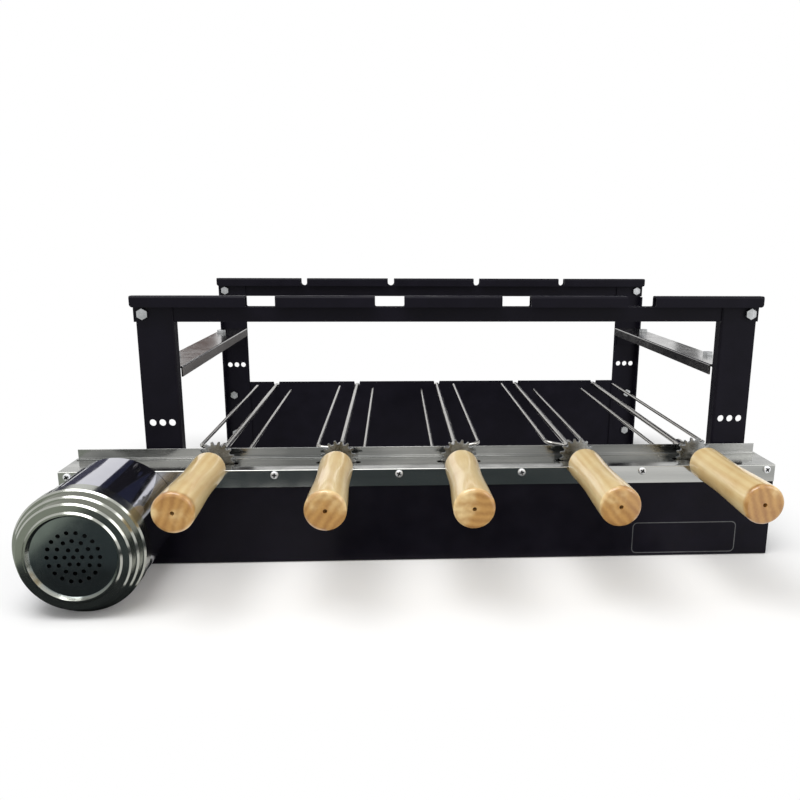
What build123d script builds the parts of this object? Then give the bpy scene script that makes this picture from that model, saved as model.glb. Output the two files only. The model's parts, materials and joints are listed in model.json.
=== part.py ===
"""Electric skewer grill: five fork skewers turned together by one geared motor.

A black folded-steel frame stands on four angle posts. In front of the posts lies a long
housing with a stainless cover. Inside it a roller chain runs round a drive sprocket and an
idler. Each skewer carries a small sprocket that drops through a slot in the cover and sits
on the chain's upper run, so all five skewers turn together. Above them a notched front bar
and a notched rear bar hold four more skewers at rest.

Frame: +X right, +Y to the back, +Z up. The origin is on the floor under the housing's centre
line, midway between the left and right posts.
"""
from build123d import *
import math
import os

os.makedirs("parts", exist_ok=True)

# ------------------------------------------------------------------ driving dimensions (mm)
# frame
FRAME_WIDTH = 622.0          # across the outer edges of the posts
FRAME_DEPTH = 367.0          # front face of the front posts to back face of the rear posts
FRAME_HEIGHT = 260.0         # top of the two bars
STEEL = 2.0                  # black folded sheet
POST_FACE = 36.0
POST_FLANGE = 13.0
FOLD_RADIUS = 1.5            # inside radius of a fold in the black sheet
SEAT_GAP = 0.3               # between pieces that lie against each other without a fit

# top bars
BAR_LENGTH = 628.0
BAR_HEIGHT = 26.0
BAR_DEPTH = 12.0
LIP_HEIGHT = 11.0
LIP_END_RADIUS = 3.0
TIER_PITCH = 126.0           # between the four upper skewers
TIER_COUNT = 4
FRONT_NOTCH_WIDTH = 29.0
FRONT_NOTCH_DEPTH = 10.5
REAR_NOTCH_WIDTH = 9.0
REAR_NOTCH_DEPTH = 10.0
BAR_BOLT_INSET = 7.0         # from the post's outer edge
BAR_BOLT_DROP = 18.0         # below the bar's top

# adjusting holes in the posts
HOLE_DIAMETER = 7.0
HOLE_PITCH = 9.6
HOLE_COUNT = 3
HOLE_HEIGHT = 132.5

# chain drive
CHAIN_PITCH = 6.35
ROLLER_DIAMETER = 3.3
CHAIN_INNER_WIDTH = 3.4
PLATE_THICKNESS = 0.8
PLATE_HEIGHT = 4.8
SPROCKET_THICKNESS = 2.8
SKEWER_TEETH = 16
DRIVE_TEETH = 28
SEAT_CLEARANCE = 0.15        # roller in its tooth gap
TOOTH_FLANK = 25.0           # degrees
ROLLER_LENGTH = 3.2
ROLLER_SIDES = 6
GUIDE_WIDTH = 9.0
GUIDE_SHEET = 2.5
GUIDE_FOOT = 16.0
GUIDE_INSET = 4.0
SKEWER_HUB = 8.0
SKEWER_HUB_LENGTH = 6.0
IDLER_PITCHES = 6            # last skewer to idler, in chain pitches
MIDDLE_X = 5.5
SKEWER_COUNT = 5
FORK_TO_POST = 1.5           # least room between a turning fork and a post
SHAFT_TO_POST = 12.0         # least room between the drive shaft's axis and the left post

# housing and cover
HOUSING_PAST_DRIVE = 55.3    # from the drive shaft's axis to the left end
HOUSING_PAST_POST = 11.0     # from the right post's outer edge to the right end
HOUSING_DEPTH = 46.0
HOUSING_SHEET = 1.5
COVER_TOP = 96.0
COVER_SHEET = 1.0
COVER_FACE = 17.5
COVER_SLOT_LENGTH = 44.0
COVER_SLOT_WIDTH = 7.0
REST_TOP = 106.0
REST_FOOT = 5.0
REST_BEHIND = 2.0            # its upstand stands clear of the posts
REST_INSET = 2.0
REST_NOTCH_WIDTH = 8.0
CHAIN_PLANE = 24.0           # in front of the posts' front faces
HOUSING_BOLT_HEIGHTS = (28.0, 50.0)
GROMMET_HEIGHT = 14.0
GROMMET_NECK = 12.0
GROMMET_FLANGE = 17.0
GROMMET_BORE = 7.0
GROMMET_LIP = 2.0

# skewers
ROD_DIAMETER = 6.0
ROD_CLEARANCE = 0.06         # radial, in the notches
ROD_POINT = 12.0
ROD_TIP = 1.2
ROD_IN_HANDLE = 70.0
ROD_BEHIND_PANEL = 14.0
PRONG_DIAMETER = 4.0
PRONG_OFFSET = 24.5
PRONG_BEND = 7.0
COLLAR_DIAMETER = 11.0
COLLAR_LENGTH = 12.0
FORK_BEHIND_FACE = 12.0
PRONG_POINT = 10.0
PRONG_TAPER = 9.0
PRONG_SHORT_OF_PANEL = 14.0
HANDLE_DIAMETER = 34.8       # just behind the front end
HANDLE_WAIST = 30.8
HANDLE_BULB = 32.4           # just before the back end
HANDLE_WAIST_AT = 0.62       # of the length, from the front
HANDLE_LENGTH = 127.0
HANDLE_START = 48.5          # in front of the posts' front faces
HANDLE_END_ROUND = 3.5
HANDLE_BACK_ROUND = 8.5
HANDLE_HOLE = 3.6
HANDLE_HOLE_DEPTH = 14.0
FORK_TILTS = (-8.0, -4.0, 9.5, -10.5, 8.0)   # right prong up, degrees, skewer 1 to 5

# rear panel
PANEL_TOP = 106.0
PANEL_FOOT = 15.0
PANEL_NOTCH_WIDTH = 9.0
PANEL_BOLT_HEIGHTS = (28.0, 87.0)
PANEL_BOLT_INSET = 12.5      # from the post's outer edge

# side rails
RAIL_TOP = 187.0
RAIL_SHEET = 1.5
RAIL_LIP = 11.0
RAIL_START = 20.0            # behind the front posts' front faces
RAIL_OUTER_INSET = 2.5
BRACKET_PAST_BOLT = 12.0
BRACKET_DROP = 24.0
RAIL_BOLT_REACH = 84.0       # from the front post's face
RAIL_BOLT_REACH_BACK = 56.0  # from the rear post's face
RAIL_BOLT_INSET = 11.0       # from the post's outer edge

# motor
MOTOR_HEIGHT = 56.0
CAN_DIAMETER = 108.0
CAN_SHEET = 1.0
CAN_LENGTH = 95.0
CAP_FIT = 0.1                # radial, skirt on the can
CAP_SKIRT = 14.0
CAP_SHEET = 1.2
CAP_RISE = 13.0              # plateau in front of the rim
CAP_STEP = 4.0               # each of the two treads stands in by this much
CAP_PLATEAU = 46.0           # radius
CAP_DISC = 35.5              # radius of the recessed disc
CAP_RECESS = 2.0
CAP_EASE = 1.5               # broken edge of each tread
CAP_BEAD = 1.5
VENT_RING = 7.2
VENT_DIAMETER = 3.6
VENT_RINGS = 3
PLATE_SHEET = 3.0
PLATE_DIAMETER = 103.0
PLATE_SCREW_RING = 88.0
PLATE_SCREWS = 4
GEARBOX_WIDTH = 66.0
GEARBOX_LENGTH = 28.0
GEARBOX_ROUND = 6.0
STATOR_DIAMETER = 62.0
STATOR_LENGTH = 44.0
STATOR_BOSS = 20.0
STATOR_BOSS_LENGTH = 5.0
SHAFT_DIAMETER = 10.0
SHAFT_ENTRY = 15.0           # into the gearbox
SHAFT_PASSAGE = 18.0
RUNNING_CLEARANCE = 0.05     # radial, shaft in its bush
PRESS_GAP = 0.02             # radial, between pieces that are pressed or glued together
BUSH_DIAMETER = 16.0
BUSH_COLLAR = 3.0
BUSH_TAIL = 3.0
HUB_DIAMETER = 20.0
HUB_LENGTH = 8.0
LIGHTENING_RING = 18.0
LIGHTENING_HOLES = 6
LIGHTENING_DIAMETER = 7.0
IDLER_AXLE_DIAMETER = 8.0
AXLE_FLANGE = 18.0
AXLE_TAIL = 4.0
CLIP_NECK = 6.0
CLIP_DIAMETER = 13.0
CLIP_THICKNESS = 1.0

# fasteners
BOLT_DIAMETER = 6.0
BOLT_HEAD = 10.0
BOLT_HEAD_HEIGHT = 4.0
SCREW_DIAMETER = 4.0
SCREW_HEAD = 7.5
SCREW_HEAD_HEIGHT = 2.2
SCREW_HEAD_TAPER = 30.0
SCREW_DROP = 5.0             # below the cover's top
SCREW_END_INSET = 8.5        # first and last screw, from the housing's ends
SCREW_TAIL = 4.0
SHANK_CLEARANCE = 0.1
SHANK_TAIL = 1.5
NUT_HEIGHT = 4.5

# ------------------------------------------------------------------ worked-out places
half_width = FRAME_WIDTH / 2
post_front = HOUSING_DEPTH / 2
post_back = post_front + FRAME_DEPTH
face_back = post_back - STEEL                     # front face of the rear posts' main face
housing_front = post_front - HOUSING_DEPTH
chain_y = post_front - CHAIN_PLANE


def pitch_radius(teeth):
    """Radius of the circle through the chain's rollers."""
    return CHAIN_PITCH / (2 * math.sin(math.pi / teeth))


# every sprocket stands a whole number of chain pitches from the next: the skewers as far
# apart as the posts allow, the drive as near to the left post as it fits
fork_reach = PRONG_OFFSET + PRONG_DIAMETER / 2 + FORK_TO_POST + abs(MIDDLE_X)
gaps_between = SKEWER_COUNT - 1
skewer_pitches = math.floor(2 * (half_width - POST_FACE - fork_reach) / (gaps_between * CHAIN_PITCH))
drive_pitches = math.ceil((half_width + SHAFT_TO_POST + MIDDLE_X) / CHAIN_PITCH)
span_pitches = drive_pitches + gaps_between * skewer_pitches // 2 + IDLER_PITCHES
skewer_spacing = skewer_pitches * CHAIN_PITCH
drive_x = MIDDLE_X - drive_pitches * CHAIN_PITCH
idler_x = drive_x + span_pitches * CHAIN_PITCH
housing_left = drive_x - HOUSING_PAST_DRIVE
housing_right = half_width + HOUSING_PAST_POST
run_height = MOTOR_HEIGHT + pitch_radius(DRIVE_TEETH)
skewer_height = run_height + pitch_radius(SKEWER_TEETH)
skewer_xs = [MIDDLE_X + (i - gaps_between / 2) * skewer_spacing for i in range(SKEWER_COUNT)]
web_bottom = FRAME_HEIGHT - BAR_HEIGHT
bar_bolt_height = FRAME_HEIGHT - BAR_BOLT_DROP
bar_bolt_x = half_width - BAR_BOLT_INSET
panel_bolt_x = half_width - PANEL_BOLT_INSET
rail_bolt_x = half_width - RAIL_BOLT_INSET
rail_underside = RAIL_TOP - RAIL_SHEET
screw_height = COVER_TOP - SCREW_DROP
between_skewers = [x + skewer_spacing / 2 for x in skewer_xs[:-1]]
screw_xs = [housing_left + SCREW_END_INSET, *between_skewers, housing_right - SCREW_END_INSET]


def keep(piece, name):
    """Label a finished piece and write it as its own node."""
    piece.part.label = name
    export_step(piece.part, f"parts/{name}.step")


def across(y):
    """Sketch plane that faces the front: local x is X, local y is Z, negative amounts run to the back."""
    return Plane(origin=(0, y, 0), x_dir=(1, 0, 0), z_dir=(0, -1, 0))


# ------------------------------------------------------------------ posts
def post(side, at_back):
    """Angle post: a face across X and a flange, inside on front posts, outside on rear posts."""
    outer = side * half_width
    inner = side * (half_width - POST_FACE)
    face = post_back if at_back else post_front
    inward = -1 if at_back else 1
    lower_bolts = PANEL_BOLT_HEIGHTS if at_back else HOUSING_BOLT_HEIGHTS
    flange_x = outer if at_back else inner
    away_x = inner if at_back else outer
    flange_dir = math.copysign(1, away_x - flange_x)
    with BuildPart() as piece:
        with BuildSketch(Plane.XY):
            with BuildLine():
                Polyline(
                    (away_x, face),
                    (flange_x, face),
                    (flange_x, face + inward * POST_FLANGE),
                    (flange_x + flange_dir * STEEL, face + inward * POST_FLANGE),
                    (flange_x + flange_dir * STEEL, face + inward * STEEL),
                    (away_x, face + inward * STEEL),
                    close=True,
                )
            make_face()
        extrude(amount=FRAME_HEIGHT - STEEL)
        fold = [e for e in piece.edges().filter_by(Axis.Z) if abs(e.center().X - flange_x) < 0.01
                and abs(e.center().Y - face) < 0.01]
        fillet(fold, FOLD_RADIUS + STEEL / 2)
        # the flange stops below the bar's web
        with BuildSketch(Plane.XY.offset(web_bottom - SEAT_GAP)):
            with Locations((flange_x + flange_dir * POST_FACE / 2, face + inward * POST_FLANGE)):
                Rectangle(2 * POST_FACE, 2 * (POST_FLANGE - STEEL))
        extrude(amount=BAR_HEIGHT, mode=Mode.SUBTRACT)
        middle = side * (half_width - POST_FACE / 2)
        with BuildSketch(across(face)):
            with Locations((middle, HOLE_HEIGHT)):
                with GridLocations(HOLE_PITCH, 1, HOLE_COUNT, 1):
                    Circle(HOLE_DIAMETER / 2)
            with Locations((side * bar_bolt_x, bar_bolt_height)):
                Circle(BOLT_DIAMETER / 2)
            with Locations(*[(side * panel_bolt_x, z) for z in lower_bolts]):
                Circle(BOLT_DIAMETER / 2)
        extrude(amount=2 * STEEL, both=True, mode=Mode.SUBTRACT)
    return piece


for post_side, side_name in ((-1, "left"), (1, "right")):
    keep(post(post_side, False), f"front_{side_name}_post")
    keep(post(post_side, True), f"rear_{side_name}_post")


# ------------------------------------------------------------------ notched top bars
def top_bar(face_y, notch_width, notch_depth, notch_round):
    """J-shaped bar: its web lies behind the posts' faces, its lip hangs in front of them."""
    web_back = face_y + 2 * STEEL
    with BuildPart() as bar:
        with BuildSketch(Plane.YZ.offset(-BAR_LENGTH / 2)):
            with BuildLine():
                Polyline(
                    (web_back, web_bottom),
                    (web_back, FRAME_HEIGHT),
                    (web_back - BAR_DEPTH, FRAME_HEIGHT),
                    (web_back - BAR_DEPTH, FRAME_HEIGHT - LIP_HEIGHT),
                    (web_back - BAR_DEPTH + STEEL, FRAME_HEIGHT - LIP_HEIGHT),
                    (web_back - BAR_DEPTH + STEEL, FRAME_HEIGHT - STEEL),
                    (web_back - STEEL, FRAME_HEIGHT - STEEL),
                    (web_back - STEEL, web_bottom),
                    close=True,
                )
            make_face()
        extrude(amount=BAR_LENGTH)
        folds = bar.edges().filter_by(Axis.X).group_by(Axis.Z)[-1]
        fillet(folds, FOLD_RADIUS + STEEL / 2)
        lip_ends = bar.edges().filter_by(Axis.Y).filter_by(
            lambda e: abs(e.center().Z - FRAME_HEIGHT + LIP_HEIGHT) < 0.01)
        fillet(lip_ends, LIP_END_RADIUS)
        with BuildSketch(across(face_y)):
            with Locations((0, FRAME_HEIGHT - notch_depth / 2 + notch_round / 2)):
                with GridLocations(TIER_PITCH, 1, TIER_COUNT, 1):
                    RectangleRounded(notch_width, notch_depth + notch_round, notch_round * 0.98)
        extrude(amount=2 * BAR_DEPTH, both=True, mode=Mode.SUBTRACT)
        with BuildSketch(across(face_y)):
            with Locations((-bar_bolt_x, bar_bolt_height), (bar_bolt_x, bar_bolt_height)):
                Circle(BOLT_DIAMETER / 2)
        extrude(amount=2 * BAR_DEPTH, both=True, mode=Mode.SUBTRACT)
    return bar


keep(top_bar(post_front, FRONT_NOTCH_WIDTH, FRONT_NOTCH_DEPTH, 1.5), "front_top_bar")
keep(top_bar(face_back, REAR_NOTCH_WIDTH, REAR_NOTCH_DEPTH, REAR_NOTCH_WIDTH / 2), "rear_top_bar")


# ------------------------------------------------------------------ notches that carry a rod
rod_seat = ROD_DIAMETER / 2 + ROD_CLEARANCE
rod_places = [(x, skewer_height) for x in skewer_xs]


def notch_mouth(top, width):
    """Corners of a notch's open mouth, measured from the rod's axis."""
    rise = top + 1 - skewer_height
    return [(-rod_seat, 0), (rod_seat, 0), (width / 2, rise), (-width / 2, rise)]


# ------------------------------------------------------------------ rear panel
with BuildPart() as rear_panel:
    with BuildSketch(Plane.YZ.offset(-half_width + STEEL)):
        with BuildLine():
            Polyline(
                (post_back, 0),
                (post_back + PANEL_FOOT, 0),
                (post_back + PANEL_FOOT, STEEL),
                (post_back + STEEL, STEEL),
                (post_back + STEEL, PANEL_TOP),
                (post_back, PANEL_TOP),
                close=True,
            )
        make_face()
    extrude(amount=FRAME_WIDTH - 2 * STEEL)
    fillet(rear_panel.edges().filter_by(Axis.X).group_by(Axis.Z)[0].sort_by(Axis.Y)[0], FOLD_RADIUS)
    with BuildSketch(across(post_back)):
        with Locations(*rod_places):
            Circle(rod_seat)
            Polygon(*notch_mouth(PANEL_TOP, PANEL_NOTCH_WIDTH), align=None)
        for z in PANEL_BOLT_HEIGHTS:
            with Locations((-panel_bolt_x, z), (panel_bolt_x, z)):
                Circle(BOLT_DIAMETER / 2)
    extrude(amount=2 * STEEL, both=True, mode=Mode.SUBTRACT)
keep(rear_panel, "rear_panel")


# ------------------------------------------------------------------ side rails and brackets
rail_bolt_ys = (post_front + RAIL_BOLT_REACH, face_back - RAIL_BOLT_REACH_BACK)


def side_rail(side):
    """Stainless angle: a flat top between the posts and a lip that hangs along its inner edge."""
    inner = side * (half_width - POST_FACE)
    outer = side * (half_width - RAIL_OUTER_INSET)
    start = post_front + RAIL_START
    with BuildPart() as rail:
        with BuildSketch(Plane.XZ.offset(-start)):
            with BuildLine():
                Polyline(
                    (outer, RAIL_TOP),
                    (inner, RAIL_TOP),
                    (inner, RAIL_TOP - RAIL_LIP),
                    (inner + side * RAIL_SHEET, RAIL_TOP - RAIL_LIP),
                    (inner + side * RAIL_SHEET, rail_underside),
                    (outer, rail_underside),
                    close=True,
                )
            make_face()
        extrude(amount=-(face_back - SEAT_GAP - start))
        crease = rail.edges().filter_by(Axis.Y).filter_by(
            lambda e: abs(e.center().Z - RAIL_TOP) < 0.01 and abs(e.center().X - inner) < 0.01)
        fillet(crease, RAIL_SHEET)
        with BuildSketch(Plane.XY.offset(RAIL_TOP)):
            with Locations(*[(side * rail_bolt_x, y) for y in rail_bolt_ys]):
                Circle(BOLT_DIAMETER / 2)
        extrude(amount=2 * RAIL_SHEET, both=True, mode=Mode.SUBTRACT)
    return rail


def rail_bracket(side, at_back):
    """Angle bracket welded inside a post: the side rail is bolted down on its shelf."""
    near = half_width - POST_FACE + 2 * STEEL
    far = half_width - STEEL - 2 * SEAT_GAP
    start = min(side * near, side * far)
    wall = face_back if at_back else post_front + STEEL
    inward = -1 if at_back else 1
    bolt_y = rail_bolt_ys[1] if at_back else rail_bolt_ys[0]
    shelf_end = bolt_y + inward * BRACKET_PAST_BOLT
    with BuildPart() as bracket:
        with BuildSketch(Plane.YZ.offset(start)):
            with BuildLine():
                Polyline(
                    (wall, rail_underside),
                    (shelf_end, rail_underside),
                    (shelf_end, rail_underside - STEEL),
                    (wall + inward * STEEL, rail_underside - STEEL),
                    (wall + inward * STEEL, rail_underside - BRACKET_DROP),
                    (wall, rail_underside - BRACKET_DROP),
                    close=True,
                )
            make_face()
        extrude(amount=far - near)
        with BuildSketch(Plane.XY.offset(rail_underside)):
            with Locations((side * rail_bolt_x, bolt_y)):
                Circle(BOLT_DIAMETER / 2)
        extrude(amount=2 * STEEL, both=True, mode=Mode.SUBTRACT)
    return bracket


for rail_side, side_name in ((-1, "left"), (1, "right")):
    keep(side_rail(rail_side), f"{side_name}_side_rail")
    keep(rail_bracket(rail_side, False), f"front_{side_name}_bracket")
    keep(rail_bracket(rail_side, True), f"rear_{side_name}_bracket")


# ------------------------------------------------------------------ chain housing
housing_top = COVER_TOP - COVER_SHEET
housing_walls = (housing_front, post_front - HOUSING_SHEET)   # front faces of the two walls
with BuildPart() as chain_housing:
    with BuildSketch(Plane.YZ.offset(housing_left)):
        with BuildLine():
            Polyline(
                (housing_front, housing_top),
                (housing_front, 0),
                (post_front, 0),
                (post_front, housing_top),
                (post_front - HOUSING_SHEET, housing_top),
                (post_front - HOUSING_SHEET, HOUSING_SHEET),
                (housing_front + HOUSING_SHEET, HOUSING_SHEET),
                (housing_front + HOUSING_SHEET, housing_top),
                close=True,
            )
        make_face()
    extrude(amount=housing_right - housing_left)
    fillet(chain_housing.edges().filter_by(Axis.X).group_by(Axis.Z)[0], FOLD_RADIUS)
    # the drive shaft passes the front wall freely and ends in a bush in the back wall
    with BuildSketch(across(housing_front)):
        with Locations((drive_x, MOTOR_HEIGHT)):
            Circle(SHAFT_PASSAGE / 2)
        with Locations(*[(x, screw_height) for x in screw_xs]):
            Circle(SCREW_DIAMETER / 2)
        with Locations((drive_x, MOTOR_HEIGHT)):
            with PolarLocations(PLATE_SCREW_RING / 2, PLATE_SCREWS):
                Circle(SCREW_DIAMETER / 2)
    extrude(amount=2 * HOUSING_SHEET, both=True, mode=Mode.SUBTRACT)
    with BuildSketch(across(post_front)):
        with Locations((drive_x, MOTOR_HEIGHT)):
            Circle(BUSH_DIAMETER / 2 + RUNNING_CLEARANCE)
        for z in HOUSING_BOLT_HEIGHTS:
            with Locations((-panel_bolt_x, z), (panel_bolt_x, z)):
                Circle(BOLT_DIAMETER / 2)
    extrude(amount=2 * HOUSING_SHEET, both=True, mode=Mode.SUBTRACT)
keep(chain_housing, "chain_housing")


def end_plate(side):
    """Plate that closes one end of the housing; it stands on the floor between the walls."""
    outside = housing_left if side < 0 else housing_right
    depth = HOUSING_DEPTH - 2 * HOUSING_SHEET - 2 * SEAT_GAP
    with BuildPart() as plate:
        with BuildSketch(Plane.YZ.offset(min(outside, outside - side * HOUSING_SHEET))):
            with Locations(((housing_front + post_front) / 2, (housing_top + HOUSING_SHEET) / 2)):
                Rectangle(depth, housing_top - HOUSING_SHEET - SEAT_GAP)
            if side < 0:
                with Locations((chain_y, GROMMET_HEIGHT)):
                    Circle(GROMMET_NECK / 2 + SEAT_GAP, mode=Mode.SUBTRACT)
        extrude(amount=HOUSING_SHEET)
    return plate


keep(end_plate(-1), "left_end_plate")
keep(end_plate(1), "right_end_plate")

# rubber grommet in the left end plate: its bore is where a mains lead would leave
with BuildPart() as cord_grommet:
    with BuildSketch(Plane(origin=(housing_left, chain_y, GROMMET_HEIGHT))):
        with BuildLine():
            Polyline(
                (-GROMMET_LIP, GROMMET_BORE / 2),
                (-GROMMET_LIP, GROMMET_FLANGE / 2),
                (-SEAT_GAP / 2, GROMMET_FLANGE / 2),
                (-SEAT_GAP / 2, GROMMET_NECK / 2),
                (HOUSING_SHEET + SEAT_GAP / 2, GROMMET_NECK / 2),
                (HOUSING_SHEET + SEAT_GAP / 2, GROMMET_FLANGE / 2),
                (HOUSING_SHEET + GROMMET_LIP, GROMMET_FLANGE / 2),
                (HOUSING_SHEET + GROMMET_LIP, GROMMET_BORE / 2),
                close=True,
            )
        make_face()
    revolve(axis=Axis((0, chain_y, GROMMET_HEIGHT), (1, 0, 0)))
keep(cord_grommet, "cord_grommet")

# ------------------------------------------------------------------ stainless cover
cover_front = housing_front - COVER_SHEET
with BuildPart() as rail_cover:
    with BuildSketch(Plane.YZ.offset(housing_left)):
        with BuildLine():
            Polyline(
                (post_front - SEAT_GAP, COVER_TOP),
                (cover_front, COVER_TOP),
                (cover_front, COVER_TOP - COVER_FACE),
                (housing_front, COVER_TOP - COVER_FACE),
                (housing_front, COVER_TOP - COVER_SHEET),
                (post_front - SEAT_GAP, COVER_TOP - COVER_SHEET),
                close=True,
            )
        make_face()
    extrude(amount=housing_right - housing_left)
    front_fold = rail_cover.edges().filter_by(Axis.X).group_by(Axis.Z)[-1].sort_by(Axis.Y)[0]
    fillet(front_fold, COVER_SHEET)
    with BuildSketch(Plane.XY.offset(COVER_TOP)):
        with Locations(*[(x, chain_y) for x in skewer_xs]):
            RectangleRounded(COVER_SLOT_LENGTH, COVER_SLOT_WIDTH, 2)
    extrude(amount=2 * COVER_SHEET, both=True, mode=Mode.SUBTRACT)
    with BuildSketch(across(cover_front)):
        with Locations(*[(x, screw_height) for x in screw_xs]):
            Circle(SCREW_DIAMETER / 2)
    extrude(amount=2 * COVER_SHEET, both=True, mode=Mode.SUBTRACT)
keep(rail_cover, "rail_cover")

# notched angle on the cover: the front bearing of the five rods
rest_front = post_front - REST_BEHIND - COVER_SHEET
with BuildPart() as skewer_rest:
    with BuildSketch(Plane.YZ.offset(housing_left + REST_INSET)):
        with BuildLine():
            Polyline(
                (rest_front - REST_FOOT, COVER_TOP),
                (rest_front + COVER_SHEET, COVER_TOP),
                (rest_front + COVER_SHEET, REST_TOP),
                (rest_front, REST_TOP),
                (rest_front, COVER_TOP + COVER_SHEET),
                (rest_front - REST_FOOT, COVER_TOP + COVER_SHEET),
                close=True,
            )
        make_face()
    extrude(amount=housing_right - housing_left - 2 * REST_INSET)
    with BuildSketch(across(rest_front)):
        with Locations(*rod_places):
            Circle(rod_seat)
            Polygon(*notch_mouth(REST_TOP, REST_NOTCH_WIDTH), align=None)
    extrude(amount=2 * COVER_SHEET, both=True, mode=Mode.SUBTRACT)
keep(skewer_rest, "skewer_rest")


# ------------------------------------------------------------------ sprockets
def tooth_gap(teeth):
    """Corners of one gap between teeth: straight flanks that clear the chain's roller."""
    reach = ROLLER_DIAMETER / 2 + SEAT_CLEARANCE
    lean = math.radians(TOOTH_FLANK)
    floor = pitch_radius(teeth) - reach
    mouth = pitch_radius(teeth) + CHAIN_PITCH / 2
    corners = []
    for radius in (floor, mouth):
        half = (reach + (radius - pitch_radius(teeth)) * math.sin(lean)) / math.cos(lean)
        corners.append((radius, half))
    return [corners[0], corners[1], (mouth, -corners[1][1]), (floor, -corners[0][1])]


def tip_radius(teeth):
    return CHAIN_PITCH / 2 * (0.6 + 1 / math.tan(math.pi / teeth))


def sprocket(x, z, teeth, bore, hub, hub_length, first_gap):
    """Toothed wheel in the chain's plane, with a hub that points to the back."""
    with BuildPart() as wheel:
        with BuildSketch(across(chain_y - SPROCKET_THICKNESS / 2)):
            with Locations((x, z)):
                Circle(tip_radius(teeth))
                with PolarLocations(0, teeth, start_angle=first_gap):
                    Polygon(*tooth_gap(teeth), align=None, mode=Mode.SUBTRACT)
                if teeth > SKEWER_TEETH:
                    with PolarLocations(LIGHTENING_RING, LIGHTENING_HOLES):
                        Circle(LIGHTENING_DIAMETER / 2, mode=Mode.SUBTRACT)
        extrude(amount=-SPROCKET_THICKNESS)
        with BuildSketch(across(chain_y + SPROCKET_THICKNESS / 2)):
            with Locations((x, z)):
                Circle(hub / 2)
        extrude(amount=-hub_length)
        with BuildSketch(across(chain_y)):
            with Locations((x, z)):
                Circle(bore / 2)
        extrude(amount=4 * hub_length, both=True, mode=Mode.SUBTRACT)
    return wheel


drive_bore = SHAFT_DIAMETER + 2 * PRESS_GAP
idler_bore = IDLER_AXLE_DIAMETER + 2 * RUNNING_CLEARANCE
keep(sprocket(drive_x, MOTOR_HEIGHT, DRIVE_TEETH, drive_bore, HUB_DIAMETER, HUB_LENGTH, 90),
     "drive_sprocket")
keep(sprocket(idler_x, MOTOR_HEIGHT, DRIVE_TEETH, idler_bore, HUB_DIAMETER, HUB_LENGTH, 90),
     "idler_sprocket")

# ------------------------------------------------------------------ roller chain
chain_length = 2 * span_pitches + DRIVE_TEETH
chain_radius = pitch_radius(DRIVE_TEETH)
wrap = DRIVE_TEETH // 2


def roller_places():
    """Roller centres, from the top of the drive sprocket clockwise round both sprockets."""
    places = [(drive_x + i * CHAIN_PITCH, run_height) for i in range(span_pitches)]
    for i in range(wrap):
        angle = math.radians(90 - i * 360 / DRIVE_TEETH)
        places.append((idler_x + chain_radius * math.cos(angle), MOTOR_HEIGHT + chain_radius * math.sin(angle)))
    places += [(idler_x - i * CHAIN_PITCH, MOTOR_HEIGHT - chain_radius) for i in range(span_pitches)]
    for i in range(wrap):
        angle = math.radians(270 - i * 360 / DRIVE_TEETH)
        places.append((drive_x + chain_radius * math.cos(angle), MOTOR_HEIGHT + chain_radius * math.sin(angle)))
    return places


span = idler_x - drive_x
with BuildPart() as roller_chain:
    for strip_y in (chain_y - CHAIN_INNER_WIDTH / 2 - PLATE_THICKNESS, chain_y + CHAIN_INNER_WIDTH / 2):
        with BuildSketch(across(strip_y)):
            with Locations(((drive_x + idler_x) / 2, MOTOR_HEIGHT)):
                SlotCenterToCenter(span, 2 * chain_radius + PLATE_HEIGHT)
                SlotCenterToCenter(span, 2 * chain_radius - PLATE_HEIGHT, mode=Mode.SUBTRACT)
        extrude(amount=-PLATE_THICKNESS)
    with BuildSketch(across(chain_y - ROLLER_LENGTH / 2)):
        with Locations(*roller_places()):
            RegularPolygon(ROLLER_DIAMETER / 2, ROLLER_SIDES)
    extrude(amount=-ROLLER_LENGTH)
keep(roller_chain, "roller_chain")

# nylon strip under the upper run, on a foot against the housing's back wall
guide_top = run_height - PLATE_HEIGHT / 2 - SEAT_GAP
with BuildPart() as chain_guide:
    with BuildSketch(Plane.YZ.offset(drive_x + tip_radius(DRIVE_TEETH) + GUIDE_INSET)):
        with BuildLine():
            Polyline(
                (chain_y - GUIDE_WIDTH / 2, guide_top),
                (post_front - HOUSING_SHEET, guide_top),
                (post_front - HOUSING_SHEET, guide_top - GUIDE_FOOT),
                (post_front - HOUSING_SHEET - GUIDE_SHEET, guide_top - GUIDE_FOOT),
                (post_front - HOUSING_SHEET - GUIDE_SHEET, guide_top - GUIDE_SHEET),
                (chain_y - GUIDE_WIDTH / 2, guide_top - GUIDE_SHEET),
                close=True,
            )
        make_face()
    extrude(amount=span - 2 * tip_radius(DRIVE_TEETH) - 2 * GUIDE_INSET)
keep(chain_guide, "chain_guide")

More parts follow.
